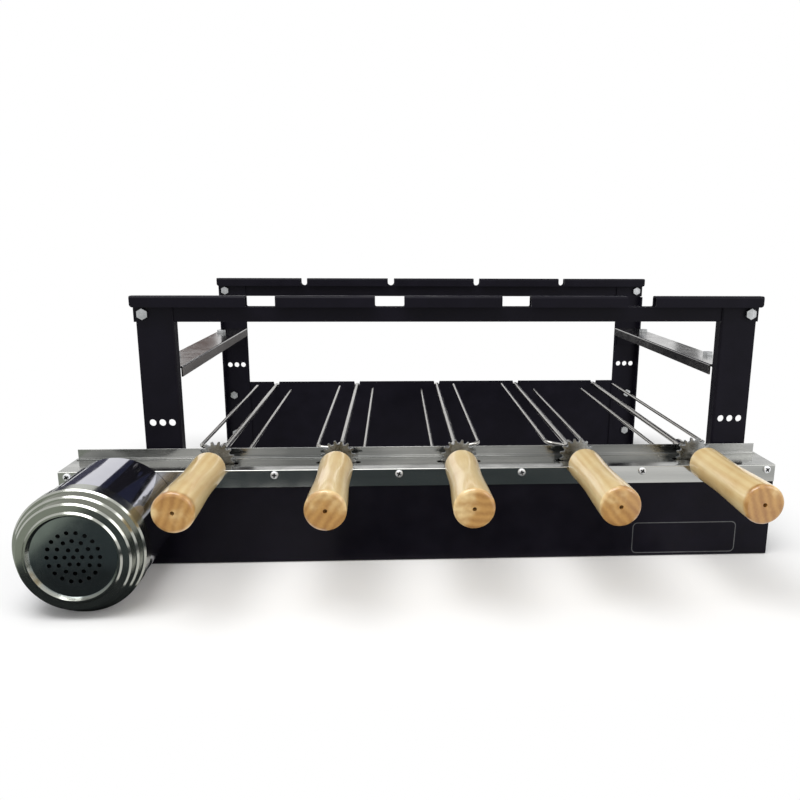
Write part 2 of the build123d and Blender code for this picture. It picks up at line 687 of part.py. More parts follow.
# ------------------------------------------------------------------ idler axle and its clip
wall_face = post_front - HOUSING_SHEET           # inner face of the housing's back wall
hub_end = chain_y + SPROCKET_THICKNESS / 2 + HUB_LENGTH
sprocket_front = chain_y - SPROCKET_THICKNESS / 2
with BuildPart() as idler_axle:
    with BuildSketch(across(hub_end + SEAT_GAP)):
        with Locations((idler_x, MOTOR_HEIGHT)):
            Circle(AXLE_FLANGE / 2)
    extrude(amount=-(wall_face - hub_end - SEAT_GAP))
    with BuildSketch(across(sprocket_front - AXLE_TAIL)):
        with Locations((idler_x, MOTOR_HEIGHT)):
            Circle(IDLER_AXLE_DIAMETER / 2)
    extrude(amount=-(hub_end - sprocket_front + AXLE_TAIL + 1))
    with BuildSketch(across(sprocket_front - SEAT_GAP - CLIP_THICKNESS - PRESS_GAP)):
        with Locations((idler_x, MOTOR_HEIGHT)):
            Circle(IDLER_AXLE_DIAMETER)
            Circle(CLIP_NECK / 2, mode=Mode.SUBTRACT)
    extrude(amount=-(CLIP_THICKNESS + 2 * PRESS_GAP), mode=Mode.SUBTRACT)
keep(idler_axle, "idler_axle")

with BuildPart() as idler_clip:
    with BuildSketch(across(sprocket_front - SEAT_GAP - CLIP_THICKNESS)):
        with Locations((idler_x, MOTOR_HEIGHT)):
            Circle(CLIP_DIAMETER / 2)
            Circle(CLIP_NECK / 2 + PRESS_GAP, mode=Mode.SUBTRACT)
        with Locations((idler_x, MOTOR_HEIGHT - CLIP_DIAMETER / 2)):
            Rectangle(CLIP_NECK * 0.8, CLIP_DIAMETER, mode=Mode.SUBTRACT)
    extrude(amount=-CLIP_THICKNESS)
keep(idler_clip, "idler_clip")

# ------------------------------------------------------------------ motor
# plate_back is the face that lies on the cover; below the cover a step reaches the housing
plate_back = cover_front - SEAT_GAP
plate_front = plate_back - PLATE_SHEET
gearbox_front = plate_front - GEARBOX_LENGTH
stator_front = gearbox_front - STATOR_LENGTH
with BuildPart() as motor_plate:
    with BuildSketch(across(plate_front)):
        with Locations((drive_x, MOTOR_HEIGHT)):
            Circle(PLATE_DIAMETER / 2)
    extrude(amount=-PLATE_SHEET)
    with BuildSketch(across(plate_back)):
        with Locations((drive_x, MOTOR_HEIGHT)):
            Circle(PLATE_DIAMETER / 2)
        with Locations((drive_x, COVER_TOP - COVER_FACE - SEAT_GAP + PLATE_DIAMETER / 2)):
            Rectangle(2 * PLATE_DIAMETER, PLATE_DIAMETER, mode=Mode.SUBTRACT)
    extrude(amount=-(housing_front - plate_back))
    with BuildSketch(across(plate_back)):
        with Locations((drive_x, MOTOR_HEIGHT)):
            Circle(SHAFT_PASSAGE / 2)
            with PolarLocations(PLATE_SCREW_RING / 2, PLATE_SCREWS):
                Circle(SCREW_DIAMETER / 2)
    extrude(amount=2 * PLATE_SHEET, both=True, mode=Mode.SUBTRACT)
keep(motor_plate, "motor_plate")

with BuildPart() as gearbox:
    with BuildSketch(across(gearbox_front)):
        with Locations((drive_x, MOTOR_HEIGHT)):
            RectangleRounded(GEARBOX_WIDTH, GEARBOX_WIDTH, GEARBOX_ROUND)
    extrude(amount=-GEARBOX_LENGTH)
    with BuildSketch(across(plate_front - SHAFT_ENTRY - PRESS_GAP)):
        with Locations((drive_x, MOTOR_HEIGHT)):
            Circle(SHAFT_DIAMETER / 2 + RUNNING_CLEARANCE)
    extrude(amount=-GEARBOX_LENGTH, mode=Mode.SUBTRACT)
    chamfer(gearbox.faces().sort_by(Axis.Y)[0].outer_wire().edges(), 2)
keep(gearbox, "gearbox")

with BuildPart() as motor_body:
    with BuildSketch(across(stator_front)):
        with Locations((drive_x, MOTOR_HEIGHT)):
            Circle(STATOR_DIAMETER / 2)
    extrude(amount=-STATOR_LENGTH)
    chamfer(motor_body.faces().sort_by(Axis.Y)[0].edges(), 3)
    with BuildSketch(across(stator_front - STATOR_BOSS_LENGTH)):
        with Locations((drive_x, MOTOR_HEIGHT)):
            Circle(STATOR_BOSS / 2)
    extrude(amount=-STATOR_BOSS_LENGTH)
keep(motor_body, "motor_body")

can_back = plate_back - SEAT_GAP
can_front = can_back - CAN_LENGTH
with BuildPart() as motor_can:
    with BuildSketch(across(can_front)):
        with Locations((drive_x, MOTOR_HEIGHT)):
            Circle(CAN_DIAMETER / 2)
            Circle(CAN_DIAMETER / 2 - CAN_SHEET, mode=Mode.SUBTRACT)
    extrude(amount=-CAN_LENGTH)
keep(motor_can, "motor_can")

# stepped lid: a skirt round the can, a shoulder, a raised bead and a recessed disc with vents
cap_inner = CAN_DIAMETER / 2 + CAP_FIT
cap_outer = cap_inner + CAP_SHEET
cap_rim = can_front - SEAT_GAP - CAP_SHEET
with BuildPart() as motor_cap:
    with BuildSketch(Plane(origin=(drive_x, 0, MOTOR_HEIGHT))):
        with BuildLine():
            Polyline(
                (0, cap_rim - CAP_RISE + CAP_RECESS),
                (CAP_DISC, cap_rim - CAP_RISE + CAP_RECESS),
                (CAP_DISC + CAP_RECESS, cap_rim - CAP_RISE - CAP_BEAD),
                (CAP_DISC + CAP_RECESS + CAP_BEAD, cap_rim - CAP_RISE - CAP_BEAD),
                (CAP_DISC + CAP_RECESS + 2 * CAP_BEAD, cap_rim - CAP_RISE),
                (CAP_PLATEAU, cap_rim - CAP_RISE),
                (CAP_PLATEAU + CAP_EASE, cap_rim - CAP_RISE + CAP_EASE),
                (CAP_PLATEAU + CAP_EASE, cap_rim - CAP_RISE / 2),
                (CAP_PLATEAU + CAP_STEP, cap_rim - CAP_RISE / 2),
                (CAP_PLATEAU + CAP_STEP + CAP_EASE, cap_rim - CAP_RISE / 2 + CAP_EASE),
                (CAP_PLATEAU + CAP_STEP + CAP_EASE, cap_rim),
                (cap_outer - CAP_EASE, cap_rim),
                (cap_outer, cap_rim + CAP_EASE),
                (cap_outer, cap_rim + CAP_SKIRT),
                (cap_inner, cap_rim + CAP_SKIRT),
                (cap_inner, cap_rim + CAP_SHEET),
                (CAP_PLATEAU + CAP_STEP - CAP_SHEET, cap_rim + CAP_SHEET),
                (CAP_PLATEAU + CAP_STEP - CAP_SHEET, cap_rim - CAP_RISE / 2 + CAP_SHEET),
                (CAP_PLATEAU - CAP_SHEET, cap_rim - CAP_RISE / 2 + CAP_SHEET),
                (CAP_PLATEAU - CAP_SHEET, cap_rim - CAP_RISE + CAP_SHEET),
                (CAP_DISC + CAP_RECESS + CAP_SHEET, cap_rim - CAP_RISE + CAP_SHEET),
                (CAP_DISC, cap_rim - CAP_RISE + CAP_RECESS + CAP_SHEET),
                (0, cap_rim - CAP_RISE + CAP_RECESS + CAP_SHEET),
                close=True,
            )
        make_face()
    revolve(axis=Axis((drive_x, 0, MOTOR_HEIGHT), (0, 1, 0)))
    with BuildSketch(across(cap_rim - CAP_RISE)):
        with Locations((drive_x, MOTOR_HEIGHT)):
            Circle(VENT_DIAMETER / 2)
            for ring in range(1, VENT_RINGS + 1):
                with PolarLocations(ring * VENT_RING, 6 * ring):
                    Circle(VENT_DIAMETER / 2)
    extrude(amount=2 * CAP_RISE, both=True, mode=Mode.SUBTRACT)
keep(motor_cap, "motor_cap")

# ------------------------------------------------------------------ drive shaft and its bush
with BuildPart() as drive_shaft:
    with BuildSketch(across(plate_front - SHAFT_ENTRY)):
        with Locations((drive_x, MOTOR_HEIGHT)):
            Circle(SHAFT_DIAMETER / 2)
    extrude(amount=-(post_front - plate_front + SHAFT_ENTRY))
    chamfer(drive_shaft.faces().sort_by(Axis.Y)[-1].edges(), 0.8)
keep(drive_shaft, "drive_shaft")

with BuildPart() as drive_bearing:
    with BuildSketch(across(wall_face - BUSH_COLLAR)):
        with Locations((drive_x, MOTOR_HEIGHT)):
            Circle(BUSH_DIAMETER / 2 + BUSH_COLLAR)
    extrude(amount=-BUSH_COLLAR)
    with BuildSketch(across(wall_face)):
        with Locations((drive_x, MOTOR_HEIGHT)):
            Circle(BUSH_DIAMETER / 2)
    extrude(amount=-(HOUSING_SHEET + BUSH_TAIL))
    with BuildSketch(across(wall_face)):
        with Locations((drive_x, MOTOR_HEIGHT)):
            Circle(SHAFT_DIAMETER / 2 + RUNNING_CLEARANCE)
    extrude(amount=4 * BUSH_COLLAR, both=True, mode=Mode.SUBTRACT)
keep(drive_bearing, "drive_bearing")


# ------------------------------------------------------------------ skewers
handle_back = post_front - HANDLE_START
handle_front = handle_back - HANDLE_LENGTH
rod_back = post_back + ROD_BEHIND_PANEL
fork_y = post_front + FORK_BEHIND_FACE
prong_end = post_back - PRONG_SHORT_OF_PANEL


def skewer_handle(x):
    """Turned wooden handle: flat front end, a slight waist and a rounded bulb at the back."""
    front = HANDLE_DIAMETER / 2
    bulb = HANDLE_BULB / 2
    arc = 1 - math.sqrt(0.5)
    with BuildPart() as handle:
        with BuildSketch(Plane(origin=(x, 0, skewer_height))):
            with BuildLine():
                Line((0, handle_front), (front - HANDLE_END_ROUND, handle_front))
                ThreePointArc(
                    (front - HANDLE_END_ROUND, handle_front),
                    (front - HANDLE_END_ROUND * arc, handle_front + HANDLE_END_ROUND * arc),
                    (front, handle_front + HANDLE_END_ROUND),
                )
                Spline(
                    (front, handle_front + HANDLE_END_ROUND),
                    (HANDLE_WAIST / 2, handle_front + HANDLE_LENGTH * HANDLE_WAIST_AT),
                    (bulb, handle_back - HANDLE_BACK_ROUND),
                    tangents=[(0, 1), (0, 1)],
                )
                ThreePointArc(
                    (bulb, handle_back - HANDLE_BACK_ROUND),
                    (bulb - HANDLE_BACK_ROUND * arc, handle_back - HANDLE_BACK_ROUND * arc),
                    (bulb - HANDLE_BACK_ROUND, handle_back),
                )
                Line((bulb - HANDLE_BACK_ROUND, handle_back), (0, handle_back))
                Line((0, handle_back), (0, handle_front))
            make_face()
        revolve(axis=Axis((x, 0, skewer_height), (0, 1, 0)))
        with BuildSketch(across(handle_back - ROD_IN_HANDLE - SEAT_GAP)):
            with Locations((x, skewer_height)):
                Circle(ROD_DIAMETER / 2 + PRESS_GAP)
        extrude(amount=-HANDLE_LENGTH, mode=Mode.SUBTRACT)
        with BuildSketch(across(handle_front)):
            with Locations((x, skewer_height)):
                Circle(HANDLE_HOLE / 2)
        extrude(amount=-HANDLE_HOLE_DEPTH, mode=Mode.SUBTRACT)
    return handle


def skewer_rod(x):
    """Round steel rod from inside the handle to a point behind the rear panel."""
    with BuildPart() as rod:
        with BuildSketch(Plane(origin=(x, 0, skewer_height))):
            with BuildLine():
                Polyline(
                    (0, handle_back - ROD_IN_HANDLE),
                    (ROD_DIAMETER / 2, handle_back - ROD_IN_HANDLE),
                    (ROD_DIAMETER / 2, rod_back - ROD_POINT),
                    (ROD_TIP / 2, rod_back),
                    (0, rod_back),
                    close=True,
                )
            make_face()
        revolve(axis=Axis((x, 0, skewer_height), (0, 1, 0)))
    return rod


def skewer_fork(x, tilt):
    """Collar on the rod with two prongs that leave it sideways and bend to the back."""
    lean = math.radians(tilt)
    prong_length = prong_end - PRONG_POINT - fork_y - PRONG_BEND
    fork_plane = Plane(
        origin=(x, fork_y, skewer_height),
        x_dir=(math.cos(lean), 0, math.sin(lean)),
        z_dir=(-math.sin(lean), 0, math.cos(lean)),
    )
    with BuildPart() as fork:
        with BuildSketch(across(fork_y - COLLAR_LENGTH / 2)):
            with Locations((x, skewer_height)):
                Circle(COLLAR_DIAMETER / 2)
        extrude(amount=-COLLAR_LENGTH)
        for side in (-1, 1):
            sideways = fork_plane.x_dir * side
            elbow_start = fork_plane.from_local_coords((side * (PRONG_OFFSET - PRONG_BEND), 0, 0))
            elbow_centre = fork_plane.from_local_coords((side * (PRONG_OFFSET - PRONG_BEND), PRONG_BEND, 0))
            elbow_end = fork_plane.from_local_coords((side * PRONG_OFFSET, PRONG_BEND, 0))
            with BuildSketch(Plane(origin=fork_plane.origin, z_dir=sideways)):
                Circle(PRONG_DIAMETER / 2)
            extrude(amount=PRONG_OFFSET - PRONG_BEND)
            with BuildSketch(Plane(origin=elbow_start, z_dir=sideways)):
                Circle(PRONG_DIAMETER / 2)
            revolve(axis=Axis(elbow_centre, fork_plane.z_dir * side), revolution_arc=90)
            with BuildSketch(Plane(origin=elbow_end, z_dir=(0, 1, 0))):
                Circle(PRONG_DIAMETER / 2)
            extrude(amount=prong_length)
            with BuildSketch(Plane(origin=elbow_end + Vector(0, prong_length, 0), z_dir=(0, 1, 0))):
                Circle(PRONG_DIAMETER / 2)
            extrude(amount=PRONG_POINT, taper=PRONG_TAPER)
        with BuildSketch(across(fork_y)):
            with Locations((x, skewer_height)):
                Circle(ROD_DIAMETER / 2 + PRESS_GAP)
        extrude(amount=COLLAR_LENGTH, both=True, mode=Mode.SUBTRACT)
    return fork


for number, (skewer_x, fork_tilt) in enumerate(zip(skewer_xs, FORK_TILTS), start=1):
    keep(skewer_handle(skewer_x), f"skewer_{number}_handle")
    keep(skewer_rod(skewer_x), f"skewer_{number}_rod")
    keep(skewer_fork(skewer_x, fork_tilt), f"skewer_{number}_fork")
    keep(sprocket(skewer_x, skewer_height, SKEWER_TEETH, ROD_DIAMETER + 2 * PRESS_GAP,
                  SKEWER_HUB, SKEWER_HUB_LENGTH, 270), f"skewer_{number}_sprocket")


# ------------------------------------------------------------------ fasteners
def along(point, direction):
    """Plane at a bolt head's seat: the shank runs along the given direction."""
    return Plane(origin=point, z_dir=direction)


def bolt_group(seats, direction, grip, name):
    """Hexagon bolts with nuts: every head seats on its point, the nut closes the grip."""
    with BuildPart() as bolts:
        for point in seats:
            seat = along(point, direction)
            with BuildSketch(seat.offset(-BOLT_HEAD_HEIGHT)):
                RegularPolygon(BOLT_HEAD / 2, 6, major_radius=False)
            extrude(amount=BOLT_HEAD_HEIGHT)
            with BuildSketch(seat):
                Circle(BOLT_DIAMETER / 2 - SHANK_CLEARANCE)
            extrude(amount=grip + NUT_HEIGHT + SHANK_TAIL)
            with BuildSketch(seat.offset(grip)):
                RegularPolygon(BOLT_HEAD / 2, 6, major_radius=False)
            extrude(amount=NUT_HEIGHT)
    keep(bolts, name)


def screw_group(seats, direction, length, name):
    """Pan-head screws: a low domed head on its seat and a plain shank."""
    with BuildPart() as screws:
        for point in seats:
            seat = along(point, direction)
            with BuildSketch(seat):
                Circle(SCREW_HEAD / 2)
            extrude(amount=-SCREW_HEAD_HEIGHT, taper=SCREW_HEAD_TAPER)
            with BuildSketch(seat):
                Circle(SCREW_DIAMETER / 2 - SHANK_CLEARANCE)
            extrude(amount=length)
    keep(screws, name)


to_back = (0, 1, 0)
to_front = (0, -1, 0)
bar_bolt_seats = [(side * bar_bolt_x, y, bar_bolt_height) for side in (-1, 1) for y in (post_front, face_back)]
bolt_group(bar_bolt_seats, to_back, 2 * STEEL, "top_bar_bolts")
panel_seats = [(side * panel_bolt_x, face_back, z) for side in (-1, 1) for z in PANEL_BOLT_HEIGHTS]
bolt_group(panel_seats, to_back, 2 * STEEL, "rear_panel_bolts")
housing_seats = [(side * panel_bolt_x, post_front + STEEL, z) for side in (-1, 1) for z in HOUSING_BOLT_HEIGHTS]
bolt_group(housing_seats, to_front, STEEL + HOUSING_SHEET, "housing_bolts")
rail_seats = [(side * rail_bolt_x, y, RAIL_TOP) for side in (-1, 1) for y in rail_bolt_ys]
bolt_group(rail_seats, (0, 0, -1), RAIL_SHEET + STEEL, "side_rail_bolts")
cover_seats = [(x, cover_front, screw_height) for x in screw_xs]
screw_group(cover_seats, to_back, COVER_SHEET + HOUSING_SHEET + SCREW_TAIL, "rail_cover_screws")
plate_seats = []
for step in range(PLATE_SCREWS):
    turn = 2 * math.pi * step / PLATE_SCREWS
    plate_seats.append((drive_x + PLATE_SCREW_RING / 2 * math.cos(turn), plate_front,
                        MOTOR_HEIGHT + PLATE_SCREW_RING / 2 * math.sin(turn)))
screw_group(plate_seats, to_back, housing_front - plate_front + HOUSING_SHEET + SCREW_TAIL, "motor_screws")
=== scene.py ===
# %% [markdown]
# # Electric skewer grill
#
# The grill stands on four black folded posts. In front lies a long black housing with a
# stainless cover; a motor in a polished can drives a chain inside it, and the chain turns
# five fork skewers with wooden handles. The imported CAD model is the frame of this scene: it
# says where each piece sits, and the pieces below are fitted to it.

# %% Tools and the CAD frame
import json
import math

import bpy
from mathutils import Matrix, Vector


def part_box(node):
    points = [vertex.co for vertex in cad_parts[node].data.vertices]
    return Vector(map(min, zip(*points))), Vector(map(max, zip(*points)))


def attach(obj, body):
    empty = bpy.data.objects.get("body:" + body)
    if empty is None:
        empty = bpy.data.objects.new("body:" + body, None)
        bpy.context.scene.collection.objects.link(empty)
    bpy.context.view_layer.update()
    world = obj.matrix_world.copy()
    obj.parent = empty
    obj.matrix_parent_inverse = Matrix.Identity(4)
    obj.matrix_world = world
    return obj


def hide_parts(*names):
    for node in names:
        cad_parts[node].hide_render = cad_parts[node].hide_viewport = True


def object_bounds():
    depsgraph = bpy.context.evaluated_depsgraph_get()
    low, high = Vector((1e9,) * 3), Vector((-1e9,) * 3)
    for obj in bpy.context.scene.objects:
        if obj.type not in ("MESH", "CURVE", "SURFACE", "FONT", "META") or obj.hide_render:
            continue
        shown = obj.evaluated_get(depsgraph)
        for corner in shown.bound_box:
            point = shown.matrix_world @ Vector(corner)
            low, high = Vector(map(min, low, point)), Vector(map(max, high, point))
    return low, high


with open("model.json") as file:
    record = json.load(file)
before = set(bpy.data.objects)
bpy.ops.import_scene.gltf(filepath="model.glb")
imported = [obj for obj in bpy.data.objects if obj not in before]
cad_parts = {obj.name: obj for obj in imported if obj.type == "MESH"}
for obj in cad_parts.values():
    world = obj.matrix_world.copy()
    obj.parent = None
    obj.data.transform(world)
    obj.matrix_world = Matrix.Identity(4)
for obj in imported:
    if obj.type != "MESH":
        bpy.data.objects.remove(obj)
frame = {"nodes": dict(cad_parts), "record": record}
cad_low, cad_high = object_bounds()
nodes = frame["nodes"]
bodies = frame["record"]["behaviour"]["bodies"]
body_of_node = {node: body for body, members in bodies.items() for node in members}
MM = 0.001
bpy.ops.object.select_all(action="DESELECT")
print("CAD nodes:", len(nodes), "bodies:", len(bodies))

# %% [markdown]
# ## Surface effects that several finishes share
#
# Real sheet metal is never one flat colour. Rolled steel has fine lines along its length,
# paint has a slight orange peel, and everything carries faint smudges. Each effect could be
# typed into every material again, but a shader node group is built once and gets other
# numbers in each material, so the finishes stay related.


# %% Helpers that build a shader node group
def new_group(name, inputs, outputs):
    """An empty group with named sockets: inputs is {name: value}, outputs is {name: kind}."""
    tree = bpy.data.node_groups.new(name, "ShaderNodeTree")
    for label, value in inputs.items():
        socket = tree.interface.new_socket(label, in_out="INPUT", socket_type="NodeSocketFloat")
        socket.default_value = value
    for label, kind in outputs.items():
        tree.interface.new_socket(label, in_out="OUTPUT", socket_type=kind)
    return tree, tree.nodes.new("NodeGroupInput"), tree.nodes.new("NodeGroupOutput")


def add(tree, kind, **settings):
    """Adds a node and sets its properties, or its input sockets where the name is a socket."""
    node = tree.nodes.new(kind)
    for key, value in settings.items():
        if hasattr(node, key):
            setattr(node, key, value)
        else:
            node.inputs[key.replace("_", " ")].default_value = value
    return node


def math_node(tree, operation, first, second):
    """One Math node: each operand is a number or a socket."""
    node = tree.nodes.new("ShaderNodeMath")
    node.operation = operation
    for socket, operand in zip(node.inputs, (first, second)):
        if isinstance(operand, (int, float)):
            socket.default_value = operand
        else:
            tree.links.new(operand, socket)
    return node.outputs[0]


# %% [markdown]
# Rolled metal: noise that is stretched a lot along one axis, here X, reads as fine lines. A
# wave texture would give even stripes, which no rolling mill leaves, so noise is better. Only
# its distance from the middle value goes out, times a strength, ready to be added to a mask.

# %% Grain group
NOISE_MIDDLE = 0.5
grain, grain_in, grain_out = new_group(
    "rolled grain",
    {"Across": 900.0, "Along": 9.0, "Strength": 0.15},
    {"Shade": "NodeSocketFloat"},
)
coordinates = add(grain, "ShaderNodeTexCoord")
stretch = add(grain, "ShaderNodeCombineXYZ")
grain.links.new(grain_in.outputs["Along"], stretch.inputs["X"])
grain.links.new(grain_in.outputs["Across"], stretch.inputs["Y"])
grain.links.new(grain_in.outputs["Across"], stretch.inputs["Z"])
scaled = add(grain, "ShaderNodeVectorMath", operation="MULTIPLY")
grain.links.new(coordinates.outputs["Object"], scaled.inputs[0])
grain.links.new(stretch.outputs[0], scaled.inputs[1])
lines = add(grain, "ShaderNodeTexNoise", Scale=1.0, Detail=4.0, Roughness=0.6)
grain.links.new(scaled.outputs[0], lines.inputs["Vector"])
centred = math_node(grain, "SUBTRACT", lines.outputs["Fac"], NOISE_MIDDLE)
shade = math_node(grain, "MULTIPLY", centred, grain_in.outputs["Strength"])
grain.links.new(shade, grain_out.inputs["Shade"])
print("group:", grain.name)

# %% [markdown]
# Smudges: two sizes of noise, one multiplied with the other, leave soft patches where a hand
# or a cloth has been. Painting them by hand would look truer up close, but a group of noises
# fits every piece. They only touch the roughness and a little of the colour.

# %% Smudge group
SMALL_TO_LARGE = 7.0
PATCH_LOW, PATCH_HIGH = 0.12, 0.42
smudge, smudge_in, smudge_out = new_group(
    "smudges",
    {"Scale": 14.0, "Low": 0.25, "High": 0.35},
    {"Roughness": "NodeSocketFloat", "Mask": "NodeSocketFloat"},
)
where = add(smudge, "ShaderNodeTexCoord")
large = add(smudge, "ShaderNodeTexNoise", Detail=3.0)
small = add(smudge, "ShaderNodeTexNoise", Detail=5.0)
small_scale = math_node(smudge, "MULTIPLY", smudge_in.outputs["Scale"], SMALL_TO_LARGE)
smudge.links.new(where.outputs["Object"], large.inputs["Vector"])
smudge.links.new(where.outputs["Object"], small.inputs["Vector"])
smudge.links.new(smudge_in.outputs["Scale"], large.inputs["Scale"])
smudge.links.new(small_scale, small.inputs["Scale"])
patches = math_node(smudge, "MULTIPLY", large.outputs["Fac"], small.outputs["Fac"])
spread = add(smudge, "ShaderNodeMapRange")
spread.inputs["From Min"].default_value = PATCH_LOW
spread.inputs["From Max"].default_value = PATCH_HIGH
smudge.links.new(patches, spread.inputs["Value"])
smudge.links.new(smudge_in.outputs["Low"], spread.inputs["To Min"])
smudge.links.new(smudge_in.outputs["High"], spread.inputs["To Max"])
smudge.links.new(spread.outputs["Result"], smudge_out.inputs["Roughness"])
smudge.links.new(patches, smudge_out.inputs["Mask"])
print("group:", smudge.name)


# %% Helpers that build a material from the groups
def new_material(name, colour, roughness, metallic=0.0):
    """A plain material: its values sit on the shader's own sockets."""
    material = bpy.data.materials.new(name)
    material.use_nodes = True
    shader = material.node_tree.nodes["Principled BSDF"]
    shader.inputs["Base Color"].default_value = (*colour, 1)
    shader.inputs["Roughness"].default_value = roughness
    shader.inputs["Metallic"].default_value = metallic
    return material, material.node_tree, shader


def place_group(tree, group, **values):
    """Places a shared group in a material with this material's own numbers."""
    node = tree.nodes.new("ShaderNodeGroup")
    node.node_tree = group
    for key, value in values.items():
        node.inputs[key].default_value = value
    return node


def smudge_roughness(tree, shader, scale, low, high):
    """Lets the smudges move the roughness between two values, and returns their mask."""
    marks = place_group(tree, smudge, Scale=scale, Low=low, High=high)
    tree.links.new(marks.outputs["Roughness"], shader.inputs["Roughness"])
    return marks.outputs["Mask"]


def bump_from(tree, shader, height, strength, distance):
    bump = add(tree, "ShaderNodeBump")
    bump.inputs["Strength"].default_value = strength
    bump.inputs["Distance"].default_value = distance
    tree.links.new(height, bump.inputs["Height"])
    tree.links.new(bump.outputs["Normal"], shader.inputs["Normal"])


def tone_ramp(tree, factor, dark, light, low, high):
    """A tone that goes from dark to light while the factor goes from low to high."""
    ramp = add(tree, "ShaderNodeValToRGB")
    ramp.color_ramp.elements[0].position = low
    ramp.color_ramp.elements[0].color = (*dark, 1)
    ramp.color_ramp.elements[1].position = high
    ramp.color_ramp.elements[1].color = (*light, 1)
    tree.links.new(factor, ramp.inputs["Fac"])
    return ramp.outputs["Color"]


def two_tone(tree, shader, factor, dark, light, low, high):
    """Base colour between two tones, by a mask that changes over the surface."""
    tone = tone_ramp(tree, factor, dark, light, low, high)
    tree.links.new(tone, shader.inputs["Base Color"])


# %% [markdown]
# ## Finishes
#
# Black heat-resistant paint on folded sheet: nearly black with a trace of violet, satin, with
# a fine orange peel. Scratches could be added too, but this grill is new.

# %% Black paint
PAINT_DARK, PAINT_LIGHT = (0.0036, 0.0031, 0.006), (0.0066, 0.0057, 0.0108)
PAINT_GLEAM = 0.1
black_paint, tree, shader = new_material("black heat paint", PAINT_LIGHT, 0.42)
mask = smudge_roughness(tree, shader, 7.0, 0.34, 0.52)
two_tone(tree, shader, mask, PAINT_DARK, PAINT_LIGHT, 0.1, 0.45)
shader.inputs["Specular IOR Level"].default_value = PAINT_GLEAM
peel_place = add(tree, "ShaderNodeTexCoord")
peel = add(tree, "ShaderNodeTexNoise", Scale=420.0, Detail=2.0)
tree.links.new(peel_place.outputs["Object"], peel.inputs["Vector"])
bump_from(tree, shader, peel.outputs["Fac"], 0.1, 0.3 * MM)
print("material:", black_paint.name)

# %% [markdown]
# Stainless sheet of the cover, the notched rest and the side rails: cold-rolled, so it mirrors
# its surroundings in long streaks. Anisotropic reflection could draw such streaks; here broad
# bands of noise in the colour are painted reflection streaks. The bands run along X on the cover
# and the rest and along Y on the side rails, so each sheet stretches its noise by its own
# amounts. The fine grain of the shared group is the sheet's own, faint, and lies along X on all
# three.


# %% Stainless sheet
def stainless_sheet(name, on_x, on_y, dark, light, low, high):
    """Rolled sheet: on_x and on_y are the painted reflection streaks per metre, low and high the
    roughness.
    """
    material, tree, shader = new_material(name, light, 0.25, 1.0)
    place = add(tree, "ShaderNodeTexCoord")
    drawn = add(tree, "ShaderNodeMapping")
    drawn.inputs["Scale"].default_value = (on_x, on_y, max(on_x, on_y))
    tree.links.new(place.outputs["Object"], drawn.inputs["Vector"])
    # Broad noise bands in the colour: painted reflection streaks, which also give a faint bump.
    painted_streaks = add(tree, "ShaderNodeTexNoise", Scale=1.0, Detail=2.0, Roughness=0.5)
    tree.links.new(drawn.outputs["Vector"], painted_streaks.inputs["Vector"])
    lines = place_group(tree, grain, Across=600.0, Along=12.0, Strength=0.1)
    factor = math_node(tree, "ADD", painted_streaks.outputs["Fac"], lines.outputs["Shade"])
    smudge_roughness(tree, shader, 8.0, low, high)
    two_tone(tree, shader, factor, dark, light, 0.33, 0.66)
    bump_from(tree, shader, painted_streaks.outputs["Fac"], 0.03, 0.2 * MM)
    return material


cover_steel = stainless_sheet(
    "stainless cover", 5.0, 45.0, (0.33, 0.335, 0.32), (0.53, 0.53, 0.505), 0.09, 0.18)
rest_steel = stainless_sheet(
    "stainless rest", 11.0, 40.0, (0.24, 0.245, 0.24), (0.48, 0.48, 0.465), 0.1, 0.2)
rail_steel = stainless_sheet(
    "stainless rail", 30.0, 6.0, (0.29, 0.28, 0.275), (0.46, 0.455, 0.445), 0.15, 0.25)
print("stainless:", cover_steel.name, rest_steel.name, rail_steel.name)

# %% [markdown]
# The motor's can and cap and the skewers are polished, so nearly all of their look is what
# they reflect. Only a faint haze is left in the roughness.


# %% Polished steel
HAZE_SHARE = 0.93


def polished_steel(name, tone, low, high):
    material, tree, shader = new_material(name, tone, 0.1, 1.0)
    mask = smudge_roughness(tree, shader, 16.0, low, high)
    hazy_tone = tuple(part * HAZE_SHARE for part in tone)
    two_tone(tree, shader, mask, hazy_tone, tone, 0.15, 0.4)
    return material


# The can's slight blue and the cap's slight green are painted reflection tints.
can_steel = polished_steel("polished can", (0.55, 0.55, 0.61), 0.05, 0.12)
cap_steel = polished_steel("polished cap", (0.42, 0.43, 0.39), 0.12, 0.22)
rod_steel = polished_steel("skewer steel", (0.44, 0.425, 0.4), 0.16, 0.28)
print("polished:", can_steel.name, cap_steel.name, rod_steel.name)


# %% [markdown]
# The cap's recessed disc is darker than its rim, because it isn't polished. It could be cut
# off as a piece with its own material. A distance from the motor's axis, which is where the
# drive sprocket turns, tells the two apart as well and leaves the CAD mesh whole.

# %% Dark disc in the cap
wheel_low, wheel_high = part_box("drive_sprocket")
drive_centre = ((wheel_low[0] + wheel_high[0]) / 2, (wheel_low[2] + wheel_high[2]) / 2)
DISC_RADIUS, DISC_BORDER = 36.0 * MM, 0.4 * MM
